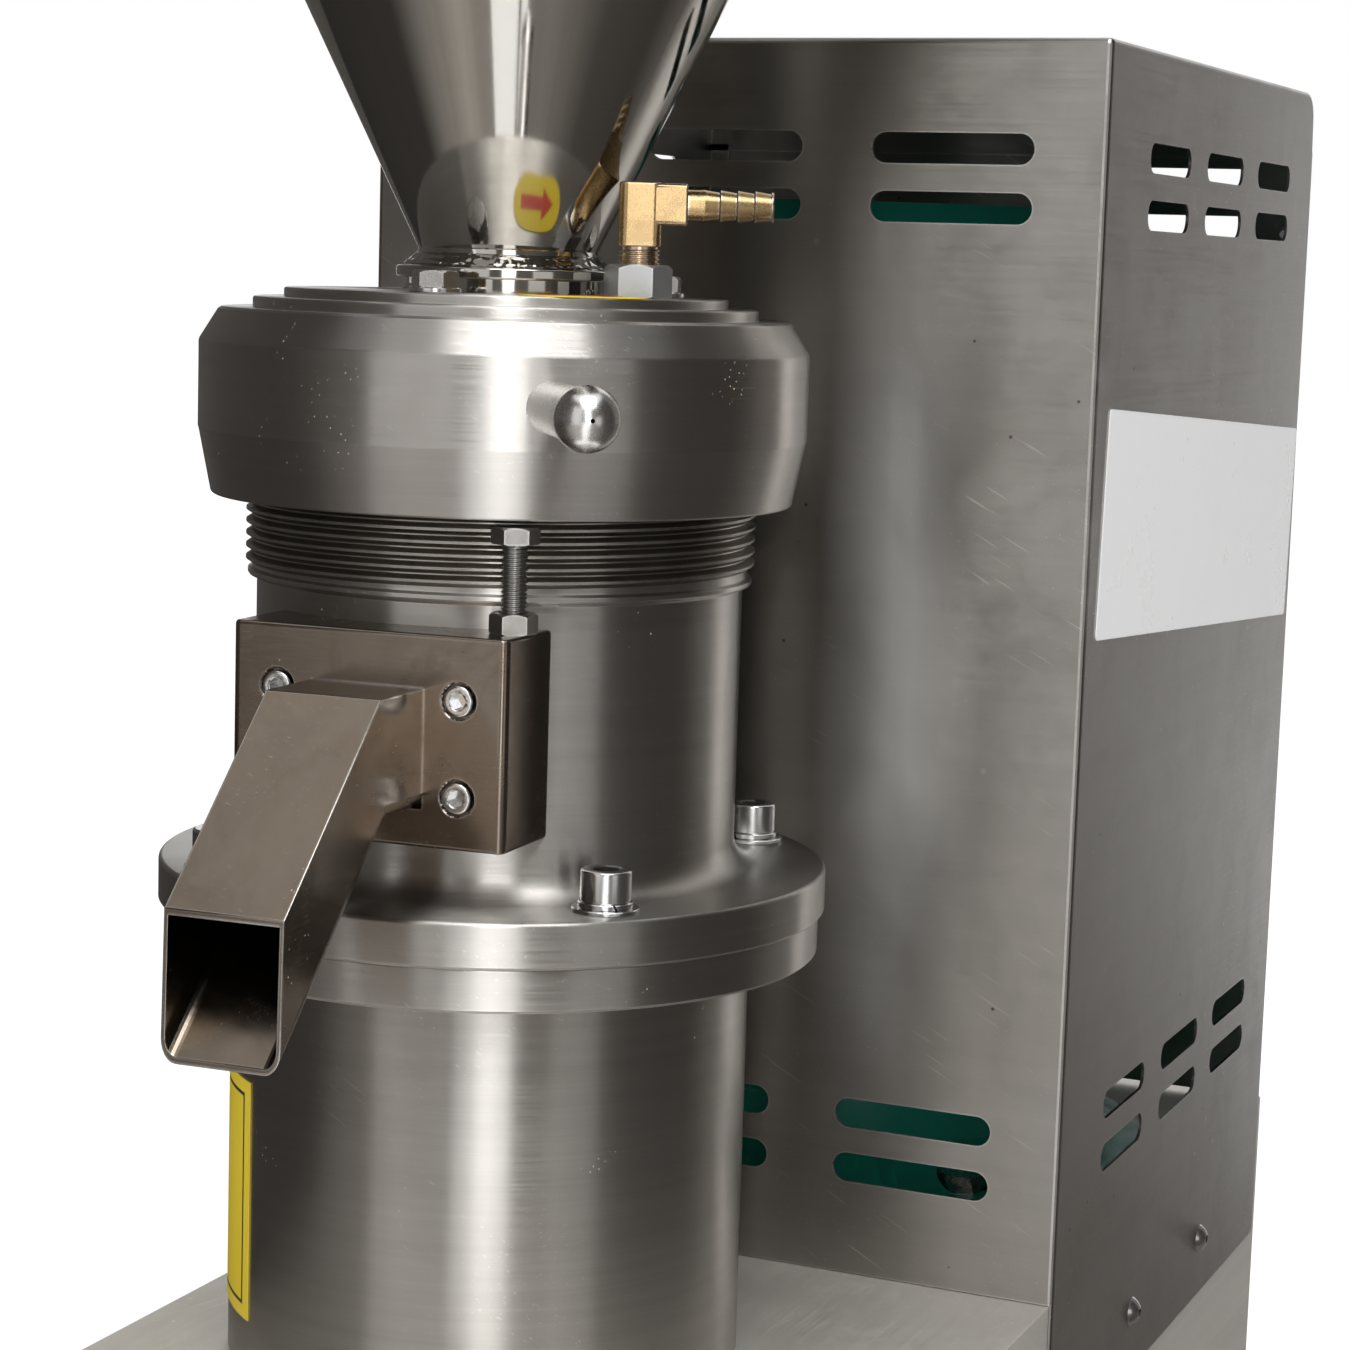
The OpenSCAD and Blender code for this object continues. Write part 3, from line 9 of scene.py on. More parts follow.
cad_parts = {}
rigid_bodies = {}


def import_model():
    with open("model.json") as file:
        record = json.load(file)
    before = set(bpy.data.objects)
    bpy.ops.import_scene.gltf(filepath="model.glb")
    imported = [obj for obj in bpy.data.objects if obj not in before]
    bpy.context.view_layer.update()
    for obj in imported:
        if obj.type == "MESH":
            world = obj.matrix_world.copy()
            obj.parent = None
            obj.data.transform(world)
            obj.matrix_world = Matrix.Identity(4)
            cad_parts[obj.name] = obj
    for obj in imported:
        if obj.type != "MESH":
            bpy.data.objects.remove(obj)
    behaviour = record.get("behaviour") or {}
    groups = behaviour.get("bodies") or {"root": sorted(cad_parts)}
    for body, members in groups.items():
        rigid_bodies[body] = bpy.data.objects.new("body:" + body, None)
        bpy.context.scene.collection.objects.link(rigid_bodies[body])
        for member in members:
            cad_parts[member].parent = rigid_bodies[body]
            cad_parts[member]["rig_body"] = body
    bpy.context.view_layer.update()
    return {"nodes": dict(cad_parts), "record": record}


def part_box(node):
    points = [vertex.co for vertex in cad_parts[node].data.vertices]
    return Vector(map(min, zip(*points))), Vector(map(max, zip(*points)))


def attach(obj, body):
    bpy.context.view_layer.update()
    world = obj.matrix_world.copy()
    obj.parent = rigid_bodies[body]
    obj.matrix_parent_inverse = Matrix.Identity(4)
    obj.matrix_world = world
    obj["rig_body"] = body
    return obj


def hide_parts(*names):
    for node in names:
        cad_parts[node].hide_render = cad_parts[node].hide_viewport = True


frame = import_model()
solids = frame["nodes"]

MM = 0.001
MILL = (-27, -148)  # the spindle's axis, in millimetres
MOTOR = (0, 131)
TURN = 3  # the bolted housing stands turned by this many degrees
DECK = 230
BARREL_R = 86.4


# ---------------------------------------------------------------- finishes
class Nodes:
    """A material's or a world's nodes, laid one by one; each method gives the socket that it makes."""

    def __init__(self, tree):
        self.tree = tree

    def node(self, kind, values=(), **settings):
        made = self.tree.nodes.new(kind)
        for key, value in settings.items():
            setattr(made, key, value)
        pairs = values.items() if isinstance(values, dict) else enumerate(values)
        for key, value in pairs:
            self.feed(made.inputs[key], value)
        return made

    def feed(self, socket, value):
        if isinstance(value, bpy.types.NodeSocket):
            self.tree.links.new(value, socket)
        elif value is not None:
            socket.default_value = value

    def calc(self, operation, *values):
        return self.node("ShaderNodeMath", values, operation=operation).outputs[0]

    def vector(self, operation, *values):
        made = self.node("ShaderNodeVectorMath", values, operation=operation)
        return made.outputs["Value" if operation in ("LENGTH", "DOT_PRODUCT") else "Vector"]

    def stretch(self, place, x, y, z):
        return self.vector("MULTIPLY", place, (x, y, z))

    def turn(self, place, angles):
        return self.node(
            "ShaderNodeMapping", {"Vector": place, "Rotation": [math.radians(a) for a in angles]}
        ).outputs[0]

    def noise(self, place, scale, detail=3.0, roughness=0.55, bend=0.0):
        values = {"Vector": place, "Scale": scale, "Detail": detail, "Roughness": roughness, "Distortion": bend}
        return self.node("ShaderNodeTexNoise", values).outputs[0]

    def cells(self, place, scale):
        return self.node("ShaderNodeTexVoronoi", {"Vector": place, "Scale": scale}).outputs["Distance"]

    def product(self, *values):
        made = values[0]
        for value in values[1:]:
            made = self.calc("MULTIPLY", made, value)
        return made

    def spread(self, value, low, high, out_low=0.0, out_high=1.0):
        return self.node("ShaderNodeMapRange", (value, low, high, out_low, out_high)).outputs[0]

    def blend(self, share, one, other):
        values = {0: share, 6: colour4(one), 7: colour4(other)}
        return self.node("ShaderNodeMix", values, data_type="RGBA").outputs[2]

    def parts(self, vector):
        return self.node("ShaderNodeSeparateXYZ", (vector,)).outputs[:3]


class Finish(Nodes):
    """One material, on the pieces' own coordinates."""

    def __init__(self, name):
        self.material = bpy.data.materials.new(name)
        self.material.use_nodes = True
        super().__init__(self.material.node_tree)
        self.shader = self.tree.nodes["Principled BSDF"]
        self.place = self.node("ShaderNodeTexCoord").outputs["Object"]

    def from_axis(self, centre):
        """The place, counted from an upright axis whose x and y are given in millimetres."""
        return self.vector("SUBTRACT", self.place, (centre[0] * MM, centre[1] * MM, 0))

    def edge_mask(self, radius=0.0012):
        """1 along the edges and corners of a piece, 0 on its faces."""
        soft = self.node("ShaderNodeBevel", (radius,), samples=4).outputs[0]
        plain = self.node("ShaderNodeNewGeometry").outputs["Normal"]
        return self.spread(self.vector("DOT_PRODUCT", soft, plain), 0.99, 0.9)

    def relief(self, height, strength, depth):
        made = self.node("ShaderNodeBump", {"Strength": strength, "Distance": depth, "Height": height})
        self.feed(self.shader.inputs["Normal"], made.outputs[0])

    def done(self, colour, rough, metallic=None):
        self.feed(self.shader.inputs["Base Color"], colour4(colour))
        self.feed(self.shader.inputs["Roughness"], rough)
        self.feed(self.shader.inputs["Metallic"], metallic)
        return self.material


def colour4(colour):
    return (*colour, 1.0) if isinstance(colour, tuple) and len(colour) == 3 else colour


def grain_of(finish, way, centre):
    """Tool marks: the place that the fine lines read, and for turned work the direction that they run in."""
    if way == "turned":
        out = finish.from_axis(centre)
        flat = finish.stretch(out, 1, 1, 0)
        radius = finish.vector("LENGTH", flat)
        side = finish.parts(finish.vector("NORMALIZE", flat))[0]
        lines = finish.node(
            "ShaderNodeCombineXYZ", (radius, finish.parts(out)[2], finish.product(side, 0.0016))
        ).outputs[0]
        round_it = finish.vector("CROSS_PRODUCT", (0, 0, 1), flat)
        along = finish.node(
            "ShaderNodeVectorTransform", (round_it,), vector_type="VECTOR", convert_from="OBJECT", convert_to="WORLD"
        ).outputs[0]
        return lines, finish.vector("NORMALIZE", along)
    if way == "level":
        normal = finish.node("ShaderNodeNewGeometry").outputs["Normal"]
        along = finish.vector("NORMALIZE", finish.vector("CROSS_PRODUCT", (0.01, 0.02, 1), normal))
        return finish.stretch(finish.place, 0.012, 0.012, 1), along
    if way in ("x", "y", "z"):
        return finish.stretch(finish.place, *[0.012 if a == way else 1 for a in "xyz"]), None
    return finish.place, None


def painted_reflection_and_haze(f, middle, cloud):
    """The share of paler, less metallic colour on the cover's front. It is an upright band with streaks, which is a
    painted reflection, and a few blots of dried haze.
    """
    x, y, z = f.parts(f.place)
    off = f.calc("SUBTRACT", x, middle * MM)
    off = f.calc("SUBTRACT", off, f.product(f.spread(f.noise(f.place, 6, 2), 0.3, 0.7), 0.01))
    # painted reflection: this band of paler colour stands in for a reflection of the mill
    band = f.spread(f.calc("ABSOLUTE", off), 0.03, 0.004)
    band = f.product(band, f.product(f.spread(z, 0.26, 0.4), f.spread(z, 0.64, 0.54)))
    band_streaks = f.noise(f.stretch(f.turn(f.place, (0, 25, 0)), 1, 1, 0.4), 22, 4, 0.6)
    band = f.product(band, f.spread(band_streaks, 0.25, 0.6, 0.55, 1))
    blot = f.product(f.spread(cloud, 0.52, 0.68), f.spread(z, 0.4, 0.5), 0.35)
    front = f.calc("LESS_THAN", y, -0.004)
    return f.product(f.calc("MAXIMUM", band, blot), front, 0.52)


def steel(
    name, colour, rough, way="plain", centre=MILL, lines=0.3, shade=0.12, second=None, mottle=0.4, stain=None,
    stain_share=0.0, dust=0.0, scratches=0.0, edge=0.5, smudge=0.1, aniso=0.0, line_scale=1500, spots=0.0, metal=1.0,
    painted_band_x=None,
):
    """Bare metal with tool marks, soft blotches and smudges. Its paler edges are partly wear and partly a painted edge
    highlight.

    Where asked it also has stains, dust, scratches and water spots. On the cover's front it can also have a painted
    reflection: a soft upright band of paler, less metallic colour whose middle x is given in millimetres, with a few
    blots of dried haze.
    """
    f = Finish(name)
    lines_place, along = grain_of(f, way, centre)
    fine = f.noise(lines_place, line_scale, 3, 0.7)
    wide = f.noise(lines_place, line_scale / 9, 2, 0.6)
    cloud = f.noise(f.place, 11, 4, 0.6, 0.4)
    patch = f.noise(f.place, 42, 5, 0.65, 0.6)
    grit = f.noise(f.place, 900, 3, 0.6)
    second = second or tuple(c * 0.8 for c in colour)
    share = f.product(f.spread(cloud, 0.38, 0.66), mottle)
    look = f.blend(share, colour, second)
    dark = f.product(f.spread(f.calc("ADD", fine, wide), 1.25, 0.75), shade)
    look = f.blend(dark, look, tuple(c * 0.35 for c in colour))
    gloss = f.calc("ADD", f.spread(fine, 0.3, 0.7, rough * 0.85, rough * 1.15), f.spread(patch, 0.45, 0.75, 0, smudge))
    height = f.calc("ADD", f.product(fine, 0.7), f.product(grit, 0.3))
    metallic = metal
    if stain:
        where = f.product(f.spread(f.noise(f.place, 30, 6, 0.7, 1.2), 0.5, 0.68), stain_share)
        look = f.blend(where, look, stain)
        gloss = f.calc("ADD", gloss, f.product(where, 0.15))
    if scratches:
        across = f.turn(f.place, (12, 33, 20))
        hair = f.noise(f.stretch(across, 1, 0.02, 1), 1100, 2, 0.5)
        hair2 = f.noise(f.stretch(f.turn(f.place, (50, -20, 70)), 1, 0.03, 1), 800, 2, 0.5)
        where = f.product(f.spread(f.calc("MAXIMUM", hair, hair2), 0.68, 0.74), f.spread(cloud, 0.45, 0.6))
        where = f.product(where, scratches)
        look = f.blend(where, look, tuple(min(1, c * 1.35 + 0.1) for c in colour))
        height = f.calc("SUBTRACT", height, f.product(where, 0.8))
    if spots:
        drop = f.spread(f.cells(f.place, 75), 0.1, 0.07)
        drop = f.product(f.product(drop, f.spread(f.noise(f.place, 14, 2), 0.56, 0.6)), spots)
        look = f.blend(drop, look, (0.72, 0.71, 0.68))
        gloss = f.calc("ADD", gloss, f.product(drop, 0.3))
        pit = f.product(f.spread(f.cells(f.turn(f.place, (0, 40, 9)), 60), 0.045, 0.03), spots)
        look = f.blend(f.product(pit, f.spread(cloud, 0.45, 0.5)), look, (0.06, 0.055, 0.05))
    if edge:
        # paler edges: partly worn metal, partly a painted edge highlight
        rim = f.product(f.edge_mask(), f.product(f.spread(patch, 0.3, 0.6, 0.35, 1), edge))
        look = f.blend(rim, look, tuple(min(1, c * 0.35 + 0.6) for c in colour))
        gloss = f.calc("SUBTRACT", gloss, f.product(rim, 0.06))
    if dust:
        speck = f.spread(f.cells(f.place, 520), 0.17, 0.12)
        here = f.product(speck, f.spread(f.noise(f.place, 26, 4, 0.7), 0.62 - dust * 0.12, 0.68))
        look = f.blend(here, look, (0.62, 0.5, 0.28))
        gloss = f.calc("MAXIMUM", gloss, f.product(here, 0.8))
        metallic = f.calc("MAXIMUM", f.calc("SUBTRACT", metal, here), 0.0)
    if painted_band_x:
        # painted reflection on the cover's front: a pale upright band, together with real haze blots
        here = painted_reflection_and_haze(f, painted_band_x, cloud)
        look = f.blend(here, look, (0.56, 0.55, 0.53))
        metallic = f.calc("SUBTRACT", metal, here)
    f.relief(height, lines, 0.00012)
    if along is not None and aniso:
        f.feed(f.shader.inputs["Tangent"], along)
        f.shader.inputs["Anisotropic"].default_value = aniso
        f.shader.inputs["Anisotropic Rotation"].default_value = 0.25
    return f.done(look, gloss, metallic)


def paint(name, colour, rough=0.4, peel=0.12, chips=0.5, bare=(0.5, 0.5, 0.5), cast=0.0):
    """Enamel with orange peel, faded clouds and edges rubbed through."""
    f = Finish(name)
    cloud = f.noise(f.place, 14, 4, 0.6)
    patch = f.noise(f.place, 90, 4, 0.7)
    look = f.blend(f.spread(cloud, 0.35, 0.7, 0, 0.5), colour, tuple(c * 0.72 for c in colour))
    look = f.blend(f.spread(patch, 0.55, 0.75, 0, 0.25), look, tuple(min(1, c * 1.2 + 0.03) for c in colour))
    rub = f.product(f.edge_mask(0.001), f.product(f.spread(patch, 0.45, 0.6), chips))
    look = f.blend(rub, look, bare)
    height = f.calc("ADD", f.noise(f.place, 420, 2), f.product(f.noise(f.place, 120, 4, 0.7), cast))
    f.relief(height, peel, 0.0003)
    return f.done(look, f.spread(patch, 0.3, 0.7, rough * 0.8, rough * 1.2), f.product(rub, 0.9))


def plastic(name, colour, rough=0.45, grain=0.15):
    """Moulded plastic or rubber: fine grain, dull rubbed edges, dust in the clouds."""
    f = Finish(name)
    cloud = f.noise(f.place, 22, 4, 0.6)
    patch = f.noise(f.place, 150, 4, 0.7)
    look = f.blend(f.spread(cloud, 0.4, 0.7, 0, 0.35), colour, tuple(c * 0.75 + 0.02 for c in colour))
    rub = f.product(f.edge_mask(0.0008), 0.3)
    look = f.blend(rub, look, tuple(min(1, c * 1.3 + 0.06) for c in colour))
    f.relief(f.noise(f.place, 1300, 2), grain, 0.0001)
    return f.done(look, f.spread(patch, 0.3, 0.7, rough * 0.85, rough * 1.2))


def blank_card(name, colour, rough=0.35, border=None):
    """A sheet label with nothing on it but, where asked, a plain border; a little grey dirt along its edges."""
    f = Finish(name)
    cloud = f.noise(f.place, 25, 5, 0.65)
    look = f.blend(f.spread(cloud, 0.45, 0.75, 0, 0.18), colour, tuple(c * 0.88 for c in colour))
    look = f.blend(f.product(f.edge_mask(0.0015), 0.15), look, (0.45, 0.44, 0.42))
    if border:
        look = border(f, look)
    f.relief(f.noise(f.place, 300, 3), 0.06, 0.0002)
    return f.done(look, f.spread(cloud, 0.3, 0.7, rough * 0.85, rough * 1.2))


def frame_line(low, high, start, end):
    """A dark line a few millimetres inside the barrel label's edge, which runs from start to end round the barrel."""

    def draw(f, look):
        x, y, z = f.parts(f.from_axis(MILL))
        middle = math.radians((start + end) / 2)
        side = f.calc("SUBTRACT", f.product(y, math.cos(middle)), f.product(x, math.sin(middle)))
        front = f.calc("ADD", f.product(x, math.cos(middle)), f.product(y, math.sin(middle)))
        angle = f.calc("ABSOLUTE", f.calc("ARCTAN2", side, front))
        sideways = f.calc("SUBTRACT", math.radians((end - start) / 2), angle)
        sideways = f.product(sideways, BARREL_R * MM)
        upright = f.calc("MINIMUM", f.calc("SUBTRACT", z, low * MM), f.calc("SUBTRACT", high * MM, z))
        inside = f.calc("MINIMUM", sideways, upright)
        line = f.product(f.spread(inside, 0.0042, 0.0046), f.spread(inside, 0.0058, 0.0054))
        return f.blend(line, look, (0.03, 0.03, 0.03))

    return draw


STEEL = (0.52, 0.505, 0.48)
turned_bright = steel("turned steel", STEEL, 0.33, "turned", lines=0.1, shade=0.16, second=(0.42, 0.4, 0.37),
                      aniso=0.95, dust=0.3, scratches=0.35, edge=0.6, smudge=0.05)
turned_ring = steel("turned ring steel", (0.54, 0.52, 0.495), 0.34, "turned", lines=0.1, shade=0.14,
                    second=(0.44, 0.425, 0.4), aniso=0.95, dust=0.25, scratches=0.6, edge=0.6, smudge=0.06)
thread_dark = steel("oiled thread", (0.26, 0.24, 0.21), 0.32, "turned", lines=0.2, shade=0.3,
                    second=(0.18, 0.16, 0.13), stain=(0.08, 0.065, 0.045), stain_share=0.5, edge=0.7)
machined = steel("machined block", (0.24, 0.2, 0.163), 0.2, "x", lines=0.1, shade=0.08, second=(0.3, 0.25, 0.2),
                 mottle=0.6, stain=(0.17, 0.12, 0.08), stain_share=0.5, dust=0.5, scratches=0.5, edge=0.9, smudge=0.1)
chute_steel = steel("chute sheet", (0.235, 0.195, 0.155), 0.19, "y", lines=0.12, shade=0.1,
                    second=(0.175, 0.14, 0.108), mottle=0.5, stain=(0.2, 0.145, 0.09), stain_share=0.25, dust=0.6,
                    scratches=0.5, edge=1.0, smudge=0.1)
hopper_steel = steel("polished hopper", (0.52, 0.505, 0.47), 0.07, "plain", lines=0.02, shade=0.04,
                     second=(0.46, 0.445, 0.41), scratches=0.25, edge=0.3, smudge=0.04)
# The cover's front has a painted reflection: a pale upright band whose middle is at x = 64 mm.
cover_steel = steel("brushed cover sheet", (0.46, 0.445, 0.425), 0.33, "level", lines=0.08, shade=0.1,
                    second=(0.37, 0.35, 0.325), mottle=0.7, scratches=0.8, edge=1.0, smudge=0.1, spots=0.8,
                    aniso=0.93, line_scale=1100, painted_band_x=64)
deck_steel = steel("deck plate", (0.66, 0.635, 0.59), 0.46, "y", lines=0.3, shade=0.12, second=(0.6, 0.57, 0.52),
                   metal=0.55, mottle=0.3, stain=(0.45, 0.4, 0.33), stain_share=0.1, dust=0.5, scratches=0.6, edge=0.8)
bright_screw = steel("bright fastener", (0.66, 0.66, 0.66), 0.17, "plain", lines=0.08, shade=0.06, scratches=0.4,
                     dust=0.2, edge=0.4)
dark_screw = steel("plain fastener", (0.56, 0.55, 0.53), 0.24, "plain", lines=0.12, shade=0.12,
                   stain=(0.25, 0.2, 0.14), stain_share=0.25, edge=0.6)
stop_steel = steel("stop bolt", (0.33, 0.32, 0.305), 0.34, "plain", lines=0.12, shade=0.12,
                   stain=(0.2, 0.16, 0.11), stain_share=0.25, edge=0.6)
inner_steel = steel("inner steel", (0.5, 0.5, 0.5), 0.3, "turned", lines=0.25, shade=0.2, aniso=0.5, edge=0.5)
motor_steel = steel("motor steel", (0.48, 0.48, 0.48), 0.34, "turned", MOTOR, lines=0.3, shade=0.2, edge=0.5)
zinc = steel("zinc socket", (0.62, 0.64, 0.66), 0.33, "plain", lines=0.25, shade=0.1, second=(0.46, 0.48, 0.51),
             mottle=0.9, stain=(0.36, 0.35, 0.33), stain_share=0.4, edge=0.7)
brass = steel("cast brass", (0.5, 0.36, 0.19), 0.25, "plain", lines=0.35, shade=0.1, second=(0.4, 0.275, 0.13),
              mottle=0.6, stain=(0.42, 0.27, 0.12), stain_share=0.3, edge=0.7)
box_steel = steel("switch box sheet", (0.55, 0.55, 0.55), 0.32, "y", lines=0.14, shade=0.1, scratches=0.5, edge=0.8)
carbon = plastic("seal carbon", (0.03, 0.03, 0.032), 0.35, 0.1)
rubber = plastic("belt rubber", (0.02, 0.02, 0.02), 0.7, 0.5)
black = plastic("black plastic", (0.025, 0.025, 0.027), 0.42)
green_cap = plastic("green button", (0.02, 0.34, 0.1), 0.32)
red_cap = plastic("red button", (0.6, 0.02, 0.015), 0.32)
iron = paint("grey cast iron", (0.16, 0.16, 0.165), 0.5, 0.4, 0.7, cast=0.8)
green = paint("motor enamel", (0.02, 0.37, 0.27), 0.36, 0.2, 0.4, cast=0.5)
copper = steel("copper winding", (0.55, 0.24, 0.12), 0.36, "turned", MOTOR, lines=0.6, shade=0.5, line_scale=420)
white_card = blank_card("blank white plate", (0.92, 0.925, 0.925), 0.3)
yellow_border = frame_line(DECK + 17.5, DECK + 97.5, -184, -126)
yellow_card = blank_card("blank yellow label", (0.84, 0.63, 0.02), 0.38, yellow_border)
yellow_plain = blank_card("yellow label", (0.84, 0.63, 0.02), 0.38)
red_print = blank_card("red arrow print", (0.62, 0.04, 0.02), 0.4)

FINISH_OF = {
    "turned_steel": turned_bright, "machined_block": machined, "chute_sheet": chute_steel,
    "hopper_steel": hopper_steel, "cover_sheet": cover_steel, "base_plate": deck_steel,
    "bright_fasteners": bright_screw, "dark_fasteners": dark_screw, "inner_steel": inner_steel,
    "seal_carbon": carbon, "black_rubber": rubber, "cast_pulley": iron, "socket_steel": zinc, "brass": brass,
    "motor_green": green, "copper_winding": copper, "black_plastic": black, "sign_white": white_card,
    "label_yellow": yellow_card, "box_metal": box_steel, "button_green": green_cap, "button_red": red_cap,
}
SLOT_OF = {p["node"]: p["material_slot"] for p in frame["record"]["subparts"]}
BODY_OF = {name: solid["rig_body"] for name, solid in solids.items()}


# ---------------------------------------------------------------- workshop
def let_go():
    if bpy.context.object and bpy.context.object.mode != "OBJECT":
        bpy.ops.object.mode_set(mode="OBJECT")
    bpy.ops.object.select_all(action="DESELECT")


def hold(*pieces):
    let_go()
    for piece in pieces:
        piece.select_set(True)
    bpy.context.view_layer.objects.active = pieces[0]
    return pieces[0]


def work_on(piece):
    hold(piece)
    bpy.ops.object.mode_set(mode="EDIT")
    bpy.ops.mesh.select_all(action="SELECT")


def apply_place(piece):
    hold(piece)
    bpy.ops.object.transform_apply(location=True, rotation=True, scale=True)
    return piece


def close_up(piece):
    """Merges what touches and turns every face outwards."""
    work_on(piece)
    bpy.ops.mesh.remove_doubles(threshold=0.000002)
    bpy.ops.mesh.normals_make_consistent(inside=False)
    bpy.ops.object.mode_set(mode="OBJECT")
    return piece


def modify(piece, kind, **settings):
    hold(piece)
    made = piece.modifiers.new(kind.lower(), kind)
    for key, value in settings.items():
        setattr(made, key, value)
    bpy.ops.object.modifier_apply(modifier=made.name)
    return piece


def soften(piece, width, segments=2, angle=32):
    return modify(piece, "BEVEL", width=width * MM, segments=segments, limit_method="ANGLE",
                  angle_limit=math.radians(angle), use_clamp_overlap=True)


def round_edges(piece, width, segments, wanted):
    """Bevels the edges whose two ends, in millimetres, satisfy wanted."""
    work_on(piece)
    bpy.ops.mesh.select_mode(type="EDGE")
    bpy.ops.mesh.select_all(action="DESELECT")
    bpy.ops.object.mode_set(mode="OBJECT")
    for e in piece.data.edges:
        a, b = (piece.data.vertices[i].co / MM for i in e.vertices)
        e.select = wanted(a, b)
    bpy.ops.object.mode_set(mode="EDIT")
    bpy.ops.mesh.bevel(offset=width * MM, segments=segments, affect="EDGES")
    bpy.ops.mesh.select_mode(type="VERT")
    bpy.ops.object.mode_set(mode="OBJECT")
    return piece


def take_out_faces(piece, wanted):
    """Deletes the faces that satisfy wanted, which gets each face's middle, in millimetres, and its normal."""
    work_on(piece)
    bpy.ops.mesh.select_mode(type="FACE")
    bpy.ops.mesh.select_all(action="DESELECT")
    bpy.ops.object.mode_set(mode="OBJECT")
    for p in piece.data.polygons:
        p.select = wanted(p.center / MM, p.normal)
    bpy.ops.object.mode_set(mode="EDIT")
    bpy.ops.mesh.delete(type="FACE")
    bpy.ops.mesh.select_mode(type="VERT")
    bpy.ops.object.mode_set(mode="OBJECT")
    return piece


def drop(piece):
    bpy.data.objects.remove(piece)


def cut(piece, *tools, way="DIFFERENCE"):
    for tool in tools:
        modify(piece, "BOOLEAN", object=tool, operation=way, solver="EXACT")
        drop(tool)
    return piece


def join(*pieces):
    hold(*pieces)
    if len(pieces) > 1:
        bpy.ops.object.join()
    return bpy.context.object


def brick(size, middle=(0, 0, 0)):
    """A cube of that size in millimetres."""
    let_go()
    bpy.ops.mesh.primitive_cube_add(size=1, location=[c * MM for c in middle])
    piece = bpy.context.object
    piece.scale = [s * MM for s in size]
    return apply_place(piece)


def rod(radius, low, high, centre=(0, 0), sides=64, turn=0.0, top=None):
    """An upright cylinder or prism, or a cone where its top has another radius."""
    let_go()
    bpy.ops.mesh.primitive_cone_add(
        vertices=sides, radius1=radius * MM, radius2=(radius if top is None else top) * MM, depth=(high - low) * MM,
        location=(centre[0] * MM, centre[1] * MM, (low + high) / 2 * MM), rotation=(0, 0, turn),
    )
    return apply_place(bpy.context.object)


def outline_wire(points):
    """One vertex extruded along the outline, point by point, in the plane of x and z, and then filled."""
    let_go()
    bpy.ops.mesh.primitive_plane_add(size=MM, location=(0, 0, 0))
    piece = bpy.context.object
    bpy.ops.object.mode_set(mode="EDIT")
    bpy.ops.mesh.select_all(action="SELECT")
    bpy.ops.mesh.merge(type="CENTER")
    bpy.ops.transform.translate(value=(points[0][0] * MM, 0, points[0][1] * MM))
    for (x0, z0), (x1, z1) in zip(points, points[1:]):
        step = ((x1 - x0) * MM, 0, (z1 - z0) * MM)
        bpy.ops.mesh.extrude_vertices_move(TRANSFORM_OT_translate={"value": step})
    bpy.ops.mesh.select_all(action="SELECT")
    bpy.ops.mesh.edge_face_add()
    return piece


def turned(points, centre=(0, 0), steps=128):
    """Lathe work: the outline of (radius, height) is spun once round the upright axis."""
    piece = outline_wire(points)
    bpy.ops.mesh.delete(type="ONLY_FACE")
    bpy.ops.mesh.select_all(action="SELECT")
    bpy.ops.mesh.spin(steps=steps, angle=2 * math.pi, center=(0, 0, 0), axis=(0, 0, 1))
    bpy.ops.object.mode_set(mode="OBJECT")
    close_up(piece)
    piece.location = (centre[0] * MM, centre[1] * MM, 0)
    return apply_place(piece)


def plate(points, thickness):
    """A flat shape in the plane of x and z, extruded towards +y."""
    piece = outline_wire(points)
    bpy.ops.mesh.extrude_region_move(TRANSFORM_OT_translate={"value": (0, thickness * MM, 0)})
    bpy.ops.object.mode_set(mode="OBJECT")
    return close_up(piece)


def coil(points, turns, pitch, centre=(0, 0), start=0.0, steps=96):
    """A thread: the tooth's outline of (radius, height) climbs by the pitch at each turn, from start in radians."""
    piece = outline_wire(points)
    bpy.ops.mesh.delete(type="ONLY_FACE")
    bpy.ops.object.mode_set(mode="OBJECT")
    modify(piece, "SCREW", axis="Z", angle=2 * math.pi, screw_offset=pitch * MM, iterations=turns, steps=steps,
           render_steps=steps, use_merge_vertices=True)
    work_on(piece)
    bpy.ops.mesh.select_all(action="DESELECT")
    bpy.ops.mesh.select_non_manifold()
    bpy.ops.mesh.edge_face_add()
    bpy.ops.object.mode_set(mode="OBJECT")
    close_up(piece)
    piece.rotation_euler = (0, 0, start)
    piece.location = (centre[0] * MM, centre[1] * MM, 0)
    return apply_place(piece)


def arc(x, z, radius, start, end, count=6):
    """Points on a quarter or so of a circle, in degrees, for an outline."""
    angles = [math.radians(start + (end - start) * i / count) for i in range(count + 1)]
    return [(x + radius * math.cos(a), z + radius * math.sin(a)) for a in angles]


def move(piece, matrix):
    piece.matrix_world = matrix @ piece.matrix_world
    return apply_place(piece)


def copy_at(piece, matrix):
    made = piece.copy()
    made.data = piece.data.copy()
    bpy.context.collection.objects.link(made)
    return move(made, matrix)


def at(x, y, z=0.0):
    return Matrix.Translation((x * MM, y * MM, z * MM))


def spun(degrees, axis="Z"):
    return Matrix.Rotation(math.radians(degrees), 4, axis)


def at_mill(x=0.0, y=0.0, z=0.0):
    """From the mill's own frame, turned with the housing, to the machine's."""
    return at(*MILL) @ spun(TURN) @ at(x, y, z)


def around(radius, degrees, z=0.0):
    """A place on a circle round the mill's axis, with x pointing outwards."""
    a = math.radians(degrees)
    return at(MILL[0] + radius * math.cos(a), MILL[1] + radius * math.sin(a), z) @ spun(degrees)


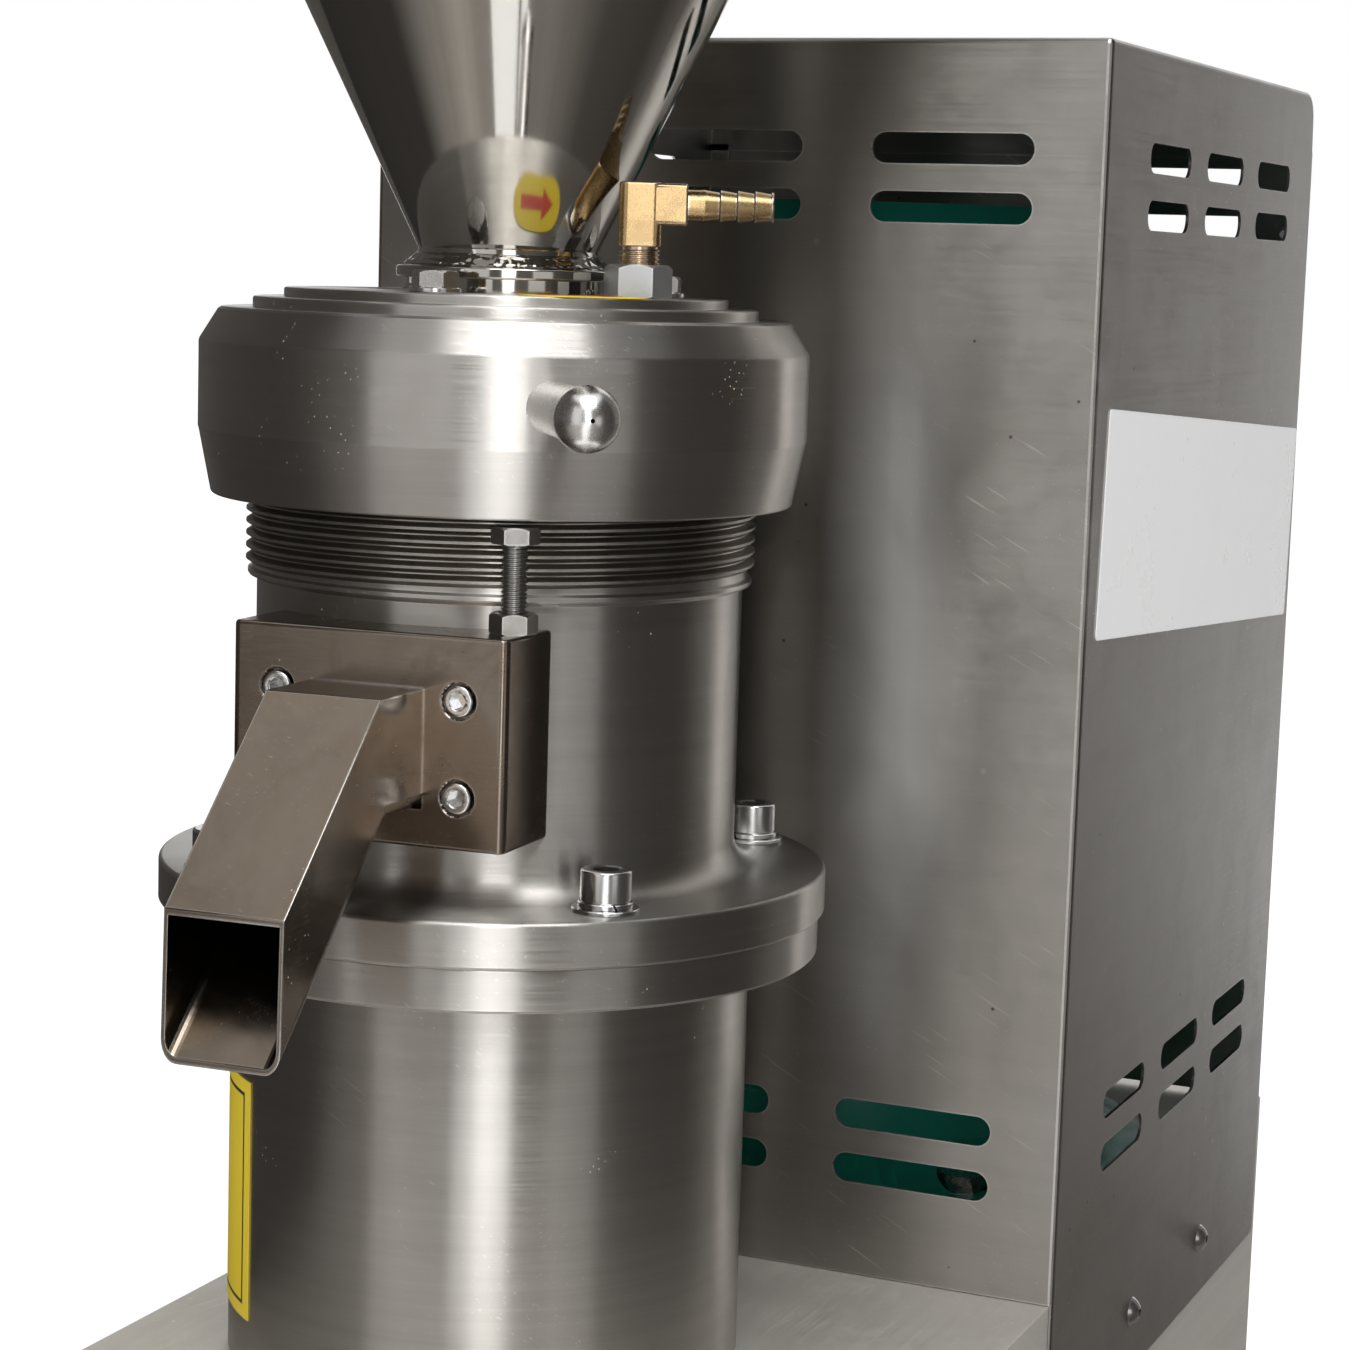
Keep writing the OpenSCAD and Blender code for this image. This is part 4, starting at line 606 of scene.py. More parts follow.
def settle(piece, name, node, finish=None, smooth=35, rounding=0.0, segments=2, angle=32, flat=0):
    """Finishes a piece, names it, and puts it in the place of its solid. Faces larger than flat, in square
    millimetres, are shaded as the planes that they are."""
    apply_place(piece)
    if rounding:
        soften(piece, rounding, segments, angle)
    hold(piece)
    bpy.ops.object.shade_smooth_by_angle(angle=math.radians(smooth))
    if flat:
        for p in piece.data.polygons:
            if p.area > flat * MM * MM:
                p.use_smooth = False
        modify(piece, "TRIANGULATE", quad_method="BEAUTY", ngon_method="BEAUTY")
    else:
        modify(piece, "WEIGHTED_NORMAL", weight=60, keep_sharp=True)
    piece.name = name
    piece.data.name = name
    piece.data.materials.clear()
    piece.data.materials.append(finish or FINISH_OF[SLOT_OF[node]])
    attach(piece, BODY_OF[node])
    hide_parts(node)
    dressed.add(node)
    return piece


def dress(node, rounding=0.0, finish=None, flat=0):
    """The solid's own shape, merged into clean faces and given rounded edges and its finish."""
    let_go()
    piece = solids[node].copy()
    piece.data = solids[node].data.copy()
    for key in list(piece.keys()):
        del piece[key]
    piece.parent = None
    piece.matrix_world = Matrix.Identity(4)
    bpy.context.collection.objects.link(piece)
    piece.hide_render = piece.hide_viewport = False
    work_on(piece)
    bpy.ops.mesh.remove_doubles(threshold=0.000004)
    bpy.ops.mesh.dissolve_limited(angle_limit=math.radians(0.5))
    bpy.ops.object.mode_set(mode="OBJECT")
    return settle(piece, node + "_dressed", node, finish, rounding=rounding, angle=40, flat=flat)


dressed = set()


# ---------------------------------------------------------------- fasteners
def cap_screw(d, length=6.0, key=None):
    """A socket head screw standing on z = 0, with its hexagon socket cut and its head's rim rounded."""
    r = 0.8 * d
    head = turned([(0, -length), (d / 2, -length), (d / 2, 0), (r - 0.35, 0), (r, 0.5), (r, d - 0.9)]
                  + arc(r - 0.9, d - 0.9, 0.9, 0, 90, 4)[1:] + [(0, d)], steps=48)
    key = key or 0.46 * d
    head = cut(head, rod(key, d * 0.45, d + 1, sides=6, turn=0.3))
    mouth = rod(key * 0.99, d - 0.28, d + 0.72, sides=48, top=key * 1.25)
    return soften(cut(head, mouth), 0.12, 1, 50)


def hexagon(radius, low, high, bore=0.0):
    """A hexagon head or nut whose corners are turned off at 30 degrees."""
    head = rod(radius, low, high, sides=6)
    guard = turned([(0, low), (radius * 0.93, low), (radius * 1.01, low + 0.5), (radius * 1.01, high - radius * 0.12),
                    (radius * 0.86, high), (0, high)], steps=60)
    head = cut(head, guard, way="INTERSECT")
    if bore:
        head = cut(head, rod(bore, low - 1, high + 1, sides=40))
        head = cut(head, rod(bore * 0.98, high - 0.6, high + 0.4, sides=40, top=bore * 1.3))
    return soften(head, 0.18, 2, 25)


def washer(radius, bore, low, high):
    b = 0.25
    return turned([(bore, low), (radius - b, low), (radius, low + b), (radius, high - b), (radius - b, high),
                   (bore, high)], steps=56)


def split_washer(radius, bore, low, high):
    ring = washer(radius, bore, low, high)
    slit = brick((radius, 0.7, 8), (radius * 0.9, 0, (low + high) / 2))
    return cut(ring, move(slit, spun(200) @ Matrix.Rotation(0.5, 4, "X")))


def tightened(fastener, places, turns, lift):
    """A copy at each place, lifted to its seat and turned by its own angle in radians, in place of the first."""
    copies = [copy_at(fastener, p @ at(0, 0, lift) @ Matrix.Rotation(t, 4, "Z")) for p, t in zip(places, turns)]
    drop(fastener)
    return copies


def threaded_rod(d, low, high, pitch):
    core = rod(d / 2 - 0.6, low, high, sides=32)
    root, crest = d / 2 - 0.75, d / 2
    tooth = [(root, low), (crest, low + pitch * 0.42), (crest, low + pitch * 0.58), (root, low + pitch * 0.98)]
    turns = int((high - low - pitch) / pitch)
    return join(core, coil(tooth, turns, pitch, steps=32))


# ---------------------------------------------------------------- mill housing
CHUTE_LOW, CHUTE_TOP = DECK + 199, DECK + 236  # the outlet tube's underside and top at the block
OUTLET_Z = (CHUTE_LOW + CHUTE_TOP) / 2
JOINT = DECK + 152.6  # where the two flanges meet
FLANGE_TOP = JOINT + 14.6
FLANGE_BOLTS = 95.5  # the bolt circle's radius


def flange_places():
    return [at_mill() @ spun(45 + 90 * i) @ at(FLANGE_BOLTS, 0, FLANGE_TOP) for i in range(4)]


def lower_barrel():
    r = BARREL_R
    low = JOINT - 13.9
    points = [(30, DECK), (r, DECK), (r, low - 1.2)] + arc(r + 1.2, low - 1.2, 1.2, 180, 90, 3)[1:]
    points += [(108, low), (109, low + 1), (109, JOINT - 0.9)] + arc(108.1, JOINT - 0.9, 0.9, 0, 90, 3)[1:]
    points += [(36, JOINT), (36, 354.6), (30, 354.6), (30, 342.7), (46, 342.7), (46, low), (78.4, low), (78.4, 242),
               (46, 242), (46, 264), (36, 264), (36, 240), (30, 240)]
    settle(turned(points, MILL, 160), "lower_barrel", "bearing_housing", turned_bright, 30)


def upper_barrel():
    points = [(28, 410), (66, 410), (66, JOINT), (110.1, JOINT), (111, JOINT + 0.9), (111, FLANGE_TOP - 1.4)]
    points += arc(109.6, FLANGE_TOP - 1.4, 1.4, 0, 90, 4)[1:] + [(89, FLANGE_TOP)]
    points += arc(89, FLANGE_TOP + 9, 9, 270, 180, 8)[1:]
    points += [(80, 489.4), (80.5, 490), (82.6, 490.6), (83, 491.2), (83, 492.4), (81.5, 493.2), (81.5, 556),
               (80.5, 557), (66, 557), (66, 426), (28, 426)]
    body = turned(points, MILL, 160)
    body = cut(body, move(brick((34.8, 64, 33.8), (0, -80, OUTLET_Z)), at_mill()))
    body = cut(body, *[move(rod(10.9, 0, 10), place) for place in flange_places()])
    settle(body, "upper_barrel", "grinding_housing", turned_bright, 30)
    tooth = [(80.9, 493.2), (81.6, 493.4), (83.4, 494.6), (83.7, 494.8), (83.7, 495.6), (83.4, 495.8), (81.6, 497),
             (80.9, 497.1)]
    thread = coil(tooth, 15, 4, MILL, math.radians(150), 128)
    settle(thread, "adjusting_thread", "grinding_housing", thread_dark, 40)


def flange_hardware():
    screw = cap_screw(10, 30)
    flat = washer(10.6, 5.3, 0, 1.4)
    spring = split_washer(8.6, 5.3, 1.4, 3.2)
    places = flange_places()
    turns = [0.2, 0.7, 1.6, 2.9]
    screws = tightened(screw, places, turns, 3.2)
    washers = [copy_at(w, p @ Matrix.Rotation(t, 4, "Z")) for p, t in zip(places, turns) for w in (flat, spring)]
    drop(flat)
    drop(spring)
    settle(join(*screws), "flange_cap_screws", "flange_screws", bright_screw, 40)
    settle(join(*washers), "flange_flat_and_spring_washers", "flange_washers", bright_screw, 40)


# ---------------------------------------------------------------- discharge
BLOCK_LOW, BLOCK_TOP, BLOCK_FRONT = 417.3, 482.4, -98.1
STOP, STOP_TURN = (40.43, -81.09), -63.5  # where the stop bolt stands, and how its flats are turned
CHUTE_W, CHUTE_WALL = 38, 1.4
CHUTE_BEND, CHUTE_FALL = -120.7, math.tan(math.radians(43.2))  # where the underside bends, and how steeply it falls


def block_places():
    return [at_mill(sx * 30.5, BLOCK_FRONT, OUTLET_Z + 0.6 + sz * 14.8) @ spun(90, "X")
            for sx in (-1, 1) for sz in (-1, 1)]


def outlet_block():
    body = brick((92.3, 58, BLOCK_TOP - BLOCK_LOW), (0, BLOCK_FRONT + 29, (BLOCK_LOW + BLOCK_TOP) / 2))
    round_edges(body, 2.6, 6, lambda a, b: abs(a.z - b.z) > 30 and a.y < -90)
    soften(body, 1.2, 3, 40)
    move(body, at_mill())
    tools = [rod(80, 400, 500, MILL, 160), move(brick((34.8, 90, 33.8), (0, BLOCK_FRONT, OUTLET_Z)), at_mill())]
    tools.append(move(brick((CHUTE_W, 8, CHUTE_TOP - CHUTE_LOW), (0, BLOCK_FRONT, OUTLET_Z)), at_mill()))
    tools.append(move(rod(4.05, 452, 500, sides=40), at_mill(*STOP)))
    for place in block_places():
        tools.append(move(rod(5.6, -5.2, 3, sides=56), place))
        tools.append(move(rod(3.05, -18, 1, sides=32), place))
        tools.append(move(rod(5.55, -0.45, 0.5, sides=56, top=6.5), place))
    settle(cut(body, *tools), "outlet_block", "discharge_block", machined, 35, flat=60)
    screw = cap_screw(6, 12)
    turns = [0.2, 0.9, 0.5, 1.3]
    screws = tightened(screw, block_places(), turns, -5.2)
    settle(join(*screws), "block_cap_screws", "block_screws", bright_screw, 40)


def underside(y):
    """The height of the chute's underside at y."""
    return CHUTE_LOW - max(0, CHUTE_BEND - y) * CHUTE_FALL


def chute_form(width, wall, corner, past):
    """The square tube's outside, or its inside where wall is given: level from the block, then bent down."""
    thick = wall * math.hypot(1, CHUTE_FALL)
    side = [(-94.1 + past, CHUTE_LOW + wall), (CHUTE_BEND + wall * 0.4, CHUTE_LOW + wall),
            (-187 - past, CHUTE_LOW - (66.3 + past) * CHUTE_FALL + thick),
            (-185.5 - past, CHUTE_TOP - (58.5 + past) * CHUTE_FALL - thick),
            (-127 + wall * 0.4, CHUTE_TOP - wall), (-94.1 + past, CHUTE_TOP - wall)]
    piece = move(plate(side, width), at(width / 2, 0) @ spun(90))

    def lower_corner(a, b):
        above = max(a.z - underside(a.y), b.z - underside(b.y))
        return abs(a.x - b.x) < 0.1 and above < wall + thick + 0.5

    return round_edges(piece, corner, 6, lower_corner)


def outlet_chute():
    tube = cut(chute_form(CHUTE_W, 0, 5, 0), chute_form(CHUTE_W - 2 * CHUTE_WALL, CHUTE_WALL, 3.8, 1))
    settle(move(tube, at_mill()), "outlet_chute", "discharge_chute", chute_steel, 30, 0.2, 2, 40, flat=40)


def stop_bolt():
    head_z = 509.6
    head = join(hexagon(7.52, 0, 5.3), threaded_rod(8, 466 - head_z, 0.2, 1.25))
    settle(move(head, at_mill(*STOP, head_z) @ spun(STOP_TURN)), "stop_bolt", "lock_bolt", stop_steel, 40)
    nut = hexagon(7.52, 0, 6.4, 4.1)
    settle(move(nut, at_mill(*STOP, BLOCK_TOP) @ spun(STOP_TURN)), "stop_bolt_nut", "lock_nut", stop_steel, 40)


# ---------------------------------------------------------------- ring, cap and handle
RING_LOW, RING_TOP = DECK + 286.8, DECK + 346.9
CAP_TOP = RING_TOP + 6.7
CAP_STEP = RING_TOP + 3.6


def ring():
    bore = 84.1
    points = [(bore, RING_LOW + 1), (bore + 1, RING_LOW), (93.7, RING_LOW)]
    points += arc(94.3, RING_LOW + 1.2, 1.2, 270, 345, 4)[1:]
    points += [(99.45, 537.6), (99.7, 538.4), (99.7, 565.6), (99.45, 566.6), (93.6, 576.2)]
    points += [(92.4, RING_TOP), (62, RING_TOP), (62, RING_TOP - 14), (bore, RING_TOP - 14)]
    body = turned(points, MILL, 192)
    settle(body, "adjusting_ring_turned", "adjusting_ring", turned_ring, 25)


def cap():
    points = [(23, RING_TOP - 14), (62, RING_TOP - 14), (62, RING_TOP), (82.5, RING_TOP), (82.5, CAP_STEP - 0.9)]
    points += arc(81.6, CAP_STEP - 0.9, 0.9, 0, 90, 3)[1:] + [(72.5, CAP_STEP), (72.5, CAP_TOP - 0.8)]
    points += arc(71.7, CAP_TOP - 0.8, 0.8, 0, 90, 3)[1:] + [(23, CAP_TOP)]
    settle(turned(points, MILL, 192), "stepped_cap", "ring_cap", turned_ring, 25)


def cap_hardware():
    bolt = join(hexagon(7.52, 0, 5.3), rod(4, -20, 0.1, sides=32))
    ring_washer = washer(8.2, 4.3, 0, 1.6)
    places = [around(50, a, CAP_TOP) for a in (-90, 30, 150)]
    bolts = tightened(bolt, places, (0.31, 0.8, 0.1), 1.6)
    rings = tightened(ring_washer, places, (0, 0, 0), 0)
    settle(join(*bolts), "cap_hexagon_bolts", "cap_bolts", dark_screw, 40)
    settle(join(*rings), "cap_bolt_washers", "cap_washers", bright_screw, 40)


def handle():
    knob = 9.6
    tip = [(knob * math.sin(math.radians(a)), 160 + knob * -math.cos(math.radians(a))) for a in range(64, 181, 8)]
    points = [(0, 84), (4.7, 84), (4.7, 98.4), (7.4, 98.4), (8, 99), (8, 149.6), (7.8, 151.4)]
    lever = turned(points + tip, steps=64)
    place = at(*MILL, 551.25) @ spun(-54.9) @ spun(90, "Y")
    satin = steel("satin handle", (0.76, 0.745, 0.73), 0.25, "plain", lines=0.12, shade=0.1, scratches=0.6,
                  edge=0.2, dust=0.15)
    settle(move(lever, place), "turning_lever", "turning_handle", satin, 40)


# ---------------------------------------------------------------- hopper
COLLAR, CONE = CAP_TOP + 4.4, CAP_TOP + 13.8  # the collar's underside and the cone's lower end
THROAT_R, SLOPE, CONE_H = 29.2, 0.49, 222


def hopper():
    wall = 1.5
    points = [(23, CAP_TOP + 0.02), (30.2, CAP_TOP + 0.02), (30.2, COLLAR), (34.4, COLLAR)]
    points += arc(35.4, COLLAR + 0.9, 0.9, 270, 360, 4)[1:] + arc(35.4, COLLAR + 2.9, 0.9, 0, 80, 4)
    points += [(33.6, COLLAR + 4.3), (31.6, COLLAR + 5), (30.4, COLLAR + 6.2), (29.7, COLLAR + 7.6), (29.25, CONE)]
    points += [(THROAT_R + SLOPE * h, CONE + h) for h in (6, 40, 90, 140, 190)]
    points += arc(THROAT_R + SLOPE * CONE_H + 4 - wall, CONE + CONE_H, 4, 205, -115, 14)
    points += [(THROAT_R - wall + SLOPE * h, CONE + h) for h in (216, 190, 140, 90, 40, 0)] + [(23, CONE - 6)]
    settle(turned(points, MILL, 192), "hopper_cone", "feed_hopper", hopper_steel, 30)
    bead = ((29.4, 4.0), (33.6, 4.0), (33.9, 4.5), (33.2, 5.3), (31.8, 6.2), (30.6, 7.6), (29.4, 8.2))
    weld = turned([(r, COLLAR + z) for r, z in bead], MILL, 220)
    work_on(weld)
    bpy.ops.mesh.subdivide(number_cuts=1)
    bpy.ops.object.mode_set(mode="OBJECT")
    ripple = bpy.data.textures.new("weld ripple", "CLOUDS")
    ripple.noise_scale = 0.0035
    modify(weld, "DISPLACE", texture=ripple, texture_coords="LOCAL", strength=0.8 * MM, mid_level=0.6)
    settle(weld, "collar_weld", "feed_hopper", hopper_steel, 60)


# ---------------------------------------------------------------- cooling water
ELBOW_W, ELBOW_H, ELBOW_LOW = 13.6, 20.4, 599.7
BARB_START, BARB_END = 14, 42.5


def barb_outline():
    tooth, first = 5.5, 19.6
    points = [(2.5, BARB_START), (4.9, BARB_START), (4.9, first)]
    for i in range(4):
        x = first + i * tooth
        points += [(5.1, x + 0.4), (4.95, x + 1.2), (4.35, x + 5.4)]
    return points + [(4.85, BARB_END - 0.8), (4.85, BARB_END - 0.3), (4.6, BARB_END), (2.5, BARB_END)]


def cast_block(size, middle, edge, wanted):
    """A cast block: the wanted edges rounded well, and all the others a little."""
    return soften(round_edges(brick(size, middle), edge, 5, wanted), 0.7, 3, 40)


def water_fittings():
    nuts, elbows = [], []
    mid = ELBOW_LOW + ELBOW_H - ELBOW_W / 2
    for direction in (-5, 112):
        place = around(49, direction)
        nut = hexagon(10.9, CAP_TOP, CAP_TOP + 10.5, 6.6)
        nuts.append(move(nut, place @ spun(-5.6)))
        upright = cast_block((ELBOW_W, ELBOW_W, ELBOW_H), (0, 0, ELBOW_LOW + ELBOW_H / 2), 2.8,
                             lambda a, b: abs(a.z - b.z) > 10)
        arm = cast_block((15, ELBOW_W - 0.3, ELBOW_W - 0.3), (7.5, 0, mid), 1.6, lambda a, b: abs(a.x - b.x) > 10)
        body = soften(cut(upright, arm, way="UNION"), 0.4, 2, 50)
        barb = move(turned(barb_outline(), steps=56), at(0, 0, mid) @ spun(90, "Y"))
        stem = threaded_rod(13.4, CAP_TOP + 1, ELBOW_LOW + 0.5, 1.34)
        elbows.append(move(join(body, barb, stem), place @ spun(30)))
    settle(join(*nuts), "water_socket_nuts", "water_sockets", zinc, 40)
    settle(join(*elbows), "brass_hose_elbows", "water_elbows", brass, 40)


# ---------------------------------------------------------------- motor cover
COVER_L, COVER_R, COVER_F, COVER_B, COVER_TOP = -143.8, 138.4, -26.7, 288.3, 675.0
SLOT_H, SLOT_ROWS = 10.7, (270, 290.3, 616.9, 637.2)
LABEL_R = 60  # the arrow label's middle, from the mill's axis


def slot_tool(length, height, depth):
    """A slot's shape, lying along x: a brick with a round rod at each end."""
    tool = brick((length - height, depth, height))
    ends = [move(rod(height / 2, -depth / 2, depth / 2, sides=32), at(s * (length - height) / 2, 0)
                 @ spun(90, "X")) for s in (-1, 1)]
    return cut(tool, *ends, way="UNION")


def cover():
    low, skirt, t = DECK + 0.3, DECK - 60, 1.2
    middle_x = (COVER_L + COVER_R) / 2
    shell = brick((COVER_R - COVER_L, COVER_B - COVER_F, COVER_TOP - skirt),
                  (middle_x, (COVER_F + COVER_B) / 2, (COVER_TOP + skirt) / 2))
    round_edges(shell, 12, 8, lambda a, b: min(a.y, b.y) > COVER_B - 1 and min(a.z, b.z) > COVER_TOP - 1)
    round_edges(shell, 2, 4, lambda a, b: (min(a.z, b.z) > 400 and abs(a.x - b.x) < 1)
                or (max(a.y, b.y) < COVER_F + 1 and (abs(a.z - b.z) > 100 or min(a.z, b.z) > 600)))
    take_out_faces(shell, lambda c, n: (abs(n.z) > 0.9 and c.z < skirt + 1) or (n.y > 0.99 and c.y > COVER_B - 1))
    modify(shell, "SOLIDIFY", thickness=t * MM, offset=-1, use_even_offset=True, use_quality_normals=True)
    shell = cut(shell, brick((COVER_R - COVER_L - 2 * t, 40, 62), (middle_x, COVER_F, low - 31)))
    tool = slot_tool(59.3, SLOT_H, 12)
    tools = [copy_at(tool, at(-2.7 + i * 85.4, COVER_F, z)) for i in (-1, 0, 1) for z in SLOT_ROWS]
    side = move(slot_tool(57, SLOT_H, 12), spun(90))
    tools += [copy_at(side, at(x, 137.8 + i * 81.5, z)) for x in (COVER_L, COVER_R) for i in (-1, 0, 1)
              for z in SLOT_ROWS]
    drop(tool)
    drop(side)
    shell = cut(shell, *tools)
    lips = [brick((10, t, 420), (x, COVER_B - t / 2, 440)) for x in (COVER_L + 5, COVER_R - 5)]
    lips.append(brick((COVER_R - COVER_L - 2, t, 16), (middle_x, COVER_B - t / 2, 655)))
    settle(join(shell, *lips), "cover_sheet", "motor_cover", cover_steel, 30, flat=40)


def dome_screws(node, name, d, places):
    """Button head screws: the head is the top of a ball, down to 62 degrees from its middle."""
    r, rim = d * 0.95, math.radians(62)
    dome = []
    for a in map(math.radians, (62, 54, 45, 35, 24, 12, 0)):
        rise = (math.cos(a) - math.cos(rim)) / (1 - math.cos(rim))
        dome.append((r * math.sin(a) / math.sin(rim), 0.62 * d * rise))
    screw = turned([(0, -8), (d / 2 - 0.2, -8), (d / 2 - 0.2, 0), (r, 0)] + dome, steps=40)
    screw = soften(cut(screw, rod(d * 0.3, 0.25 * d, d, sides=6)), 0.1, 1, 50)
    settle(join(*tightened(screw, places, [0] * len(places), 0)), name, node, bright_screw, 40)


def cover_hardware():
    sides = ((COVER_R, spun(90, "Y")), (COVER_L, spun(-90, "Y")))
    places = [at(x, y, 195) @ outwards for x, outwards in sides for y in (83.8, 188.8)]
    dome_screws("cover_screws", "cover_button_screws", 6, places)
    lo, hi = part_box("rear_panel_screws")
    r = 3.8
    xs, zs = (lo.x / MM + r, hi.x / MM - r), (lo.z / MM + r, hi.z / MM - r)
    places = [at(x, COVER_B + 1.22, z) @ spun(-90, "X") for x in xs for z in zs]
    dome_screws("rear_panel_screws", "rear_panel_button_screws", 4, places)


# ---------------------------------------------------------------- blank plate and labels
def blank_plates():
    sign = round_edges(brick((0.5, 296, 81)), 2, 5, lambda a, b: abs(a.x - b.x) > 0.1)
    lo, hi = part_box("sign_plate")
    sign = move(sign, at(*((lo + hi) / 2 / MM)) @ spun(-3.4, "X"))
    settle(sign, "blank_side_plate", "sign_plate", white_card, 30, 0.12, 1, 50, flat=40)
    dress("barrel_label", finish=yellow_card)
    oval = move(slot_tool(42, 24, 0.4), around(LABEL_R, -40, CAP_TOP + 0.23) @ spun(90) @ spun(90, "X"))
    settle(oval, "blank_oval_label", "arrow_label", yellow_plain, 40)


def plain_arrow():
    """A thick arrow with no words, bent along the label: its shaft is spun, and its head is a plate laid flat."""
    thick, sweep = 0.08, 18
    shaft = outline_wire([(LABEL_R - 3, 0), (LABEL_R + 3, 0), (LABEL_R + 3, thick), (LABEL_R - 3, thick)])
    bpy.ops.mesh.select_all(action="SELECT")
    bpy.ops.mesh.spin(steps=20, angle=math.radians(sweep), center=(0, 0, 0), axis=(0, 0, 1))
    bpy.ops.object.mode_set(mode="OBJECT")
    work_on(shaft)
    bpy.ops.mesh.select_all(action="DESELECT")
    bpy.ops.mesh.select_non_manifold()
    bpy.ops.mesh.fill_holes(sides=8)
    bpy.ops.object.mode_set(mode="OBJECT")
    close_up(shaft)
    azimuths = [math.atan2(v.co.y, v.co.x) for v in shaft.data.vertices]
    tip = move(plate([(-7, 0), (7, 0), (0, 10)], thick), spun(90, "X"))
    end = Matrix.Rotation(max(azimuths), 4, "Z") @ at(LABEL_R, -0.2, thick)
    tip = move(tip, end @ Matrix.Scale(-1, 4, (0, 1, 0)))
    arrow = join(shaft, close_up(tip))
    start = Matrix.Rotation(math.radians(-54) - min(azimuths), 4, "Z")
    settle(move(arrow, at(*MILL, CAP_TOP + 0.44) @ start), "plain_red_arrow", "arrow_label", red_print, 30)


SHEETS = ("base_frame", "rear_panel", "switch_box", "switch_box_lid", "motor_terminal_box")


def plain_pieces():
    """All the other pieces keep their solids' shapes; those listed get their edges rounded by the given widths."""
    roundings = {
        "base_frame": (0.8, deck_steel), "rear_panel": (0.25, cover_steel), "switch_box": (0.4, box_steel),
        "switch_box_lid": (0.5, box_steel), "button_collars": (0.4, bright_screw), "start_button": (0.6, None),
        "stop_button": (0.8, None), "cable_gland": (0.4, None), "motor_body": (0.4, green),
        "motor_flange": (0.8, green), "motor_rear_shield": (0.5, green), "motor_fan_cowl": (0.4, green),
        "motor_terminal_box": (1.0, green), "motor_rotor": (0.3, motor_steel), "motor_fan": (0.3, None),
        "motor_pulley": (0.5, None), "spindle_pulley": (0.5, None), "throwing_disc": (0.4, None),
        "grinding_rotor": (0.2, None), "grinding_stator": (0.2, None), "spindle_shaft": (0.3, None),
    }
    for node in solids:
        if node not in dressed:
            rounding, finish = roundings.get(node, (0.0, None))
            dress(node, rounding, finish, flat=60 if node in SHEETS else 0)


# ---------------------------------------------------------------- studio
FIRST_AZIMUTH = 120  # where the cloth's greys start, behind the machine


def cloth_finish(name, tones):
    """Matt cloth whose grey changes round the mill: tones gives the grey at each azimuth."""
    f = Finish(name)
    x, y, z = f.parts(f.from_axis(MILL))
    angle = f.calc("ARCTAN2", y, x)
    round_it = f.calc("DIVIDE", f.calc("SUBTRACT", angle, math.radians(FIRST_AZIMUTH)), 2 * math.pi)
    ramp = f.node("ShaderNodeValToRGB", (f.calc("FRACT", f.calc("ADD", round_it, 2.0)),))
    stops = ramp.color_ramp.elements
    for azimuth, grey in tones.items():
        stop = stops.new((azimuth - FIRST_AZIMUTH) / 360)
        stop.color = (grey, grey * 0.93, grey * 0.86, 1)
    stops.remove(stops[-1])
    stops.remove(stops[0])
    folds = f.node("ShaderNodeCombineXYZ", (angle, 0.0, f.product(z, 0.03))).outputs[0]
    fold = f.spread(f.noise(folds, 2.4, 3, 0.6), 0.35, 0.65, 0, 0.35)
    f.done(f.blend(fold, ramp.outputs[0], (0.09, 0.07, 0.055)), 0.9)
    return f.material


def softbox(name, azimuth, height, distance, width, tall, level):
    a = math.radians(azimuth)
    lamp = bpy.data.lights.new(name, "AREA")
    lamp.shape = "RECTANGLE"
    lamp.size, lamp.size_y = width, tall
    lamp.energy = level * math.pi * width * tall
    lamp.use_shadow = True
    holder = bpy.data.objects.new(name, lamp)
    bpy.context.collection.objects.link(holder)
    holder.location = (distance * math.cos(a), -0.05 + distance * math.sin(a), height)
    aim = Vector((0, -0.05, 0.45)) - holder.location
    holder.rotation_euler = aim.to_track_quat("-Z", "Y").to_euler()


def dark_card(card, name, finish, gaps):
    """Takes out the faces that stand in the gaps, and keeps the card out of sight but for reflections."""

    def in_gap(middle, normal):
        azimuth = math.degrees(math.atan2(middle.y - MILL[1], middle.x - MILL[0]))
        return any(low < azimuth < high for low, high in gaps)

    take_out_faces(card, in_gap)
    card.name = name
    card.data.materials.append(finish)
    card.visible_camera = card.visible_diffuse = card.visible_shadow = False


def seen_by_eye_or_mirror(f):
    """1 where the camera, a reflection or a clear piece looks, 0 for the light itself."""
    rays = f.node("ShaderNodeLightPath").outputs
    mirrored = f.calc("MAXIMUM", rays["Is Glossy Ray"], rays["Is Transmission Ray"])
    return f.calc("MAXIMUM", rays["Is Camera Ray"], mirrored)


def floor():
    let_go()
    bpy.ops.mesh.primitive_plane_add(size=30, location=(0, 0, -0.0005))
    ground = bpy.context.object
    ground.name = "floor"
    f = Finish("pale floor")
    f.done(f.blend(f.product(f.noise(f.place, 2, 3), 0.1), (0.93, 0.93, 0.93), (0.9, 0.9, 0.9)), 0.7)
    f.shader.inputs["Emission Color"].default_value = (1, 1, 1, 1)
    f.feed(f.shader.inputs["Emission Strength"], f.product(seen_by_eye_or_mirror(f), 0.56))
    ground.data.materials.append(f.material)


def backdrop():
    """White to the camera and in reflections, and half as strong as a light."""
    world = bpy.data.worlds.new("studio")
    bpy.context.scene.world = world
    world.use_nodes = True
    light = world.node_tree.nodes["Background"]
    light.inputs["Color"].default_value = (1, 1, 1, 1)
    f = Nodes(world.node_tree)
    f.feed(light.inputs["Strength"], f.spread(seen_by_eye_or_mirror(f), 0, 1, 0.5, 1))


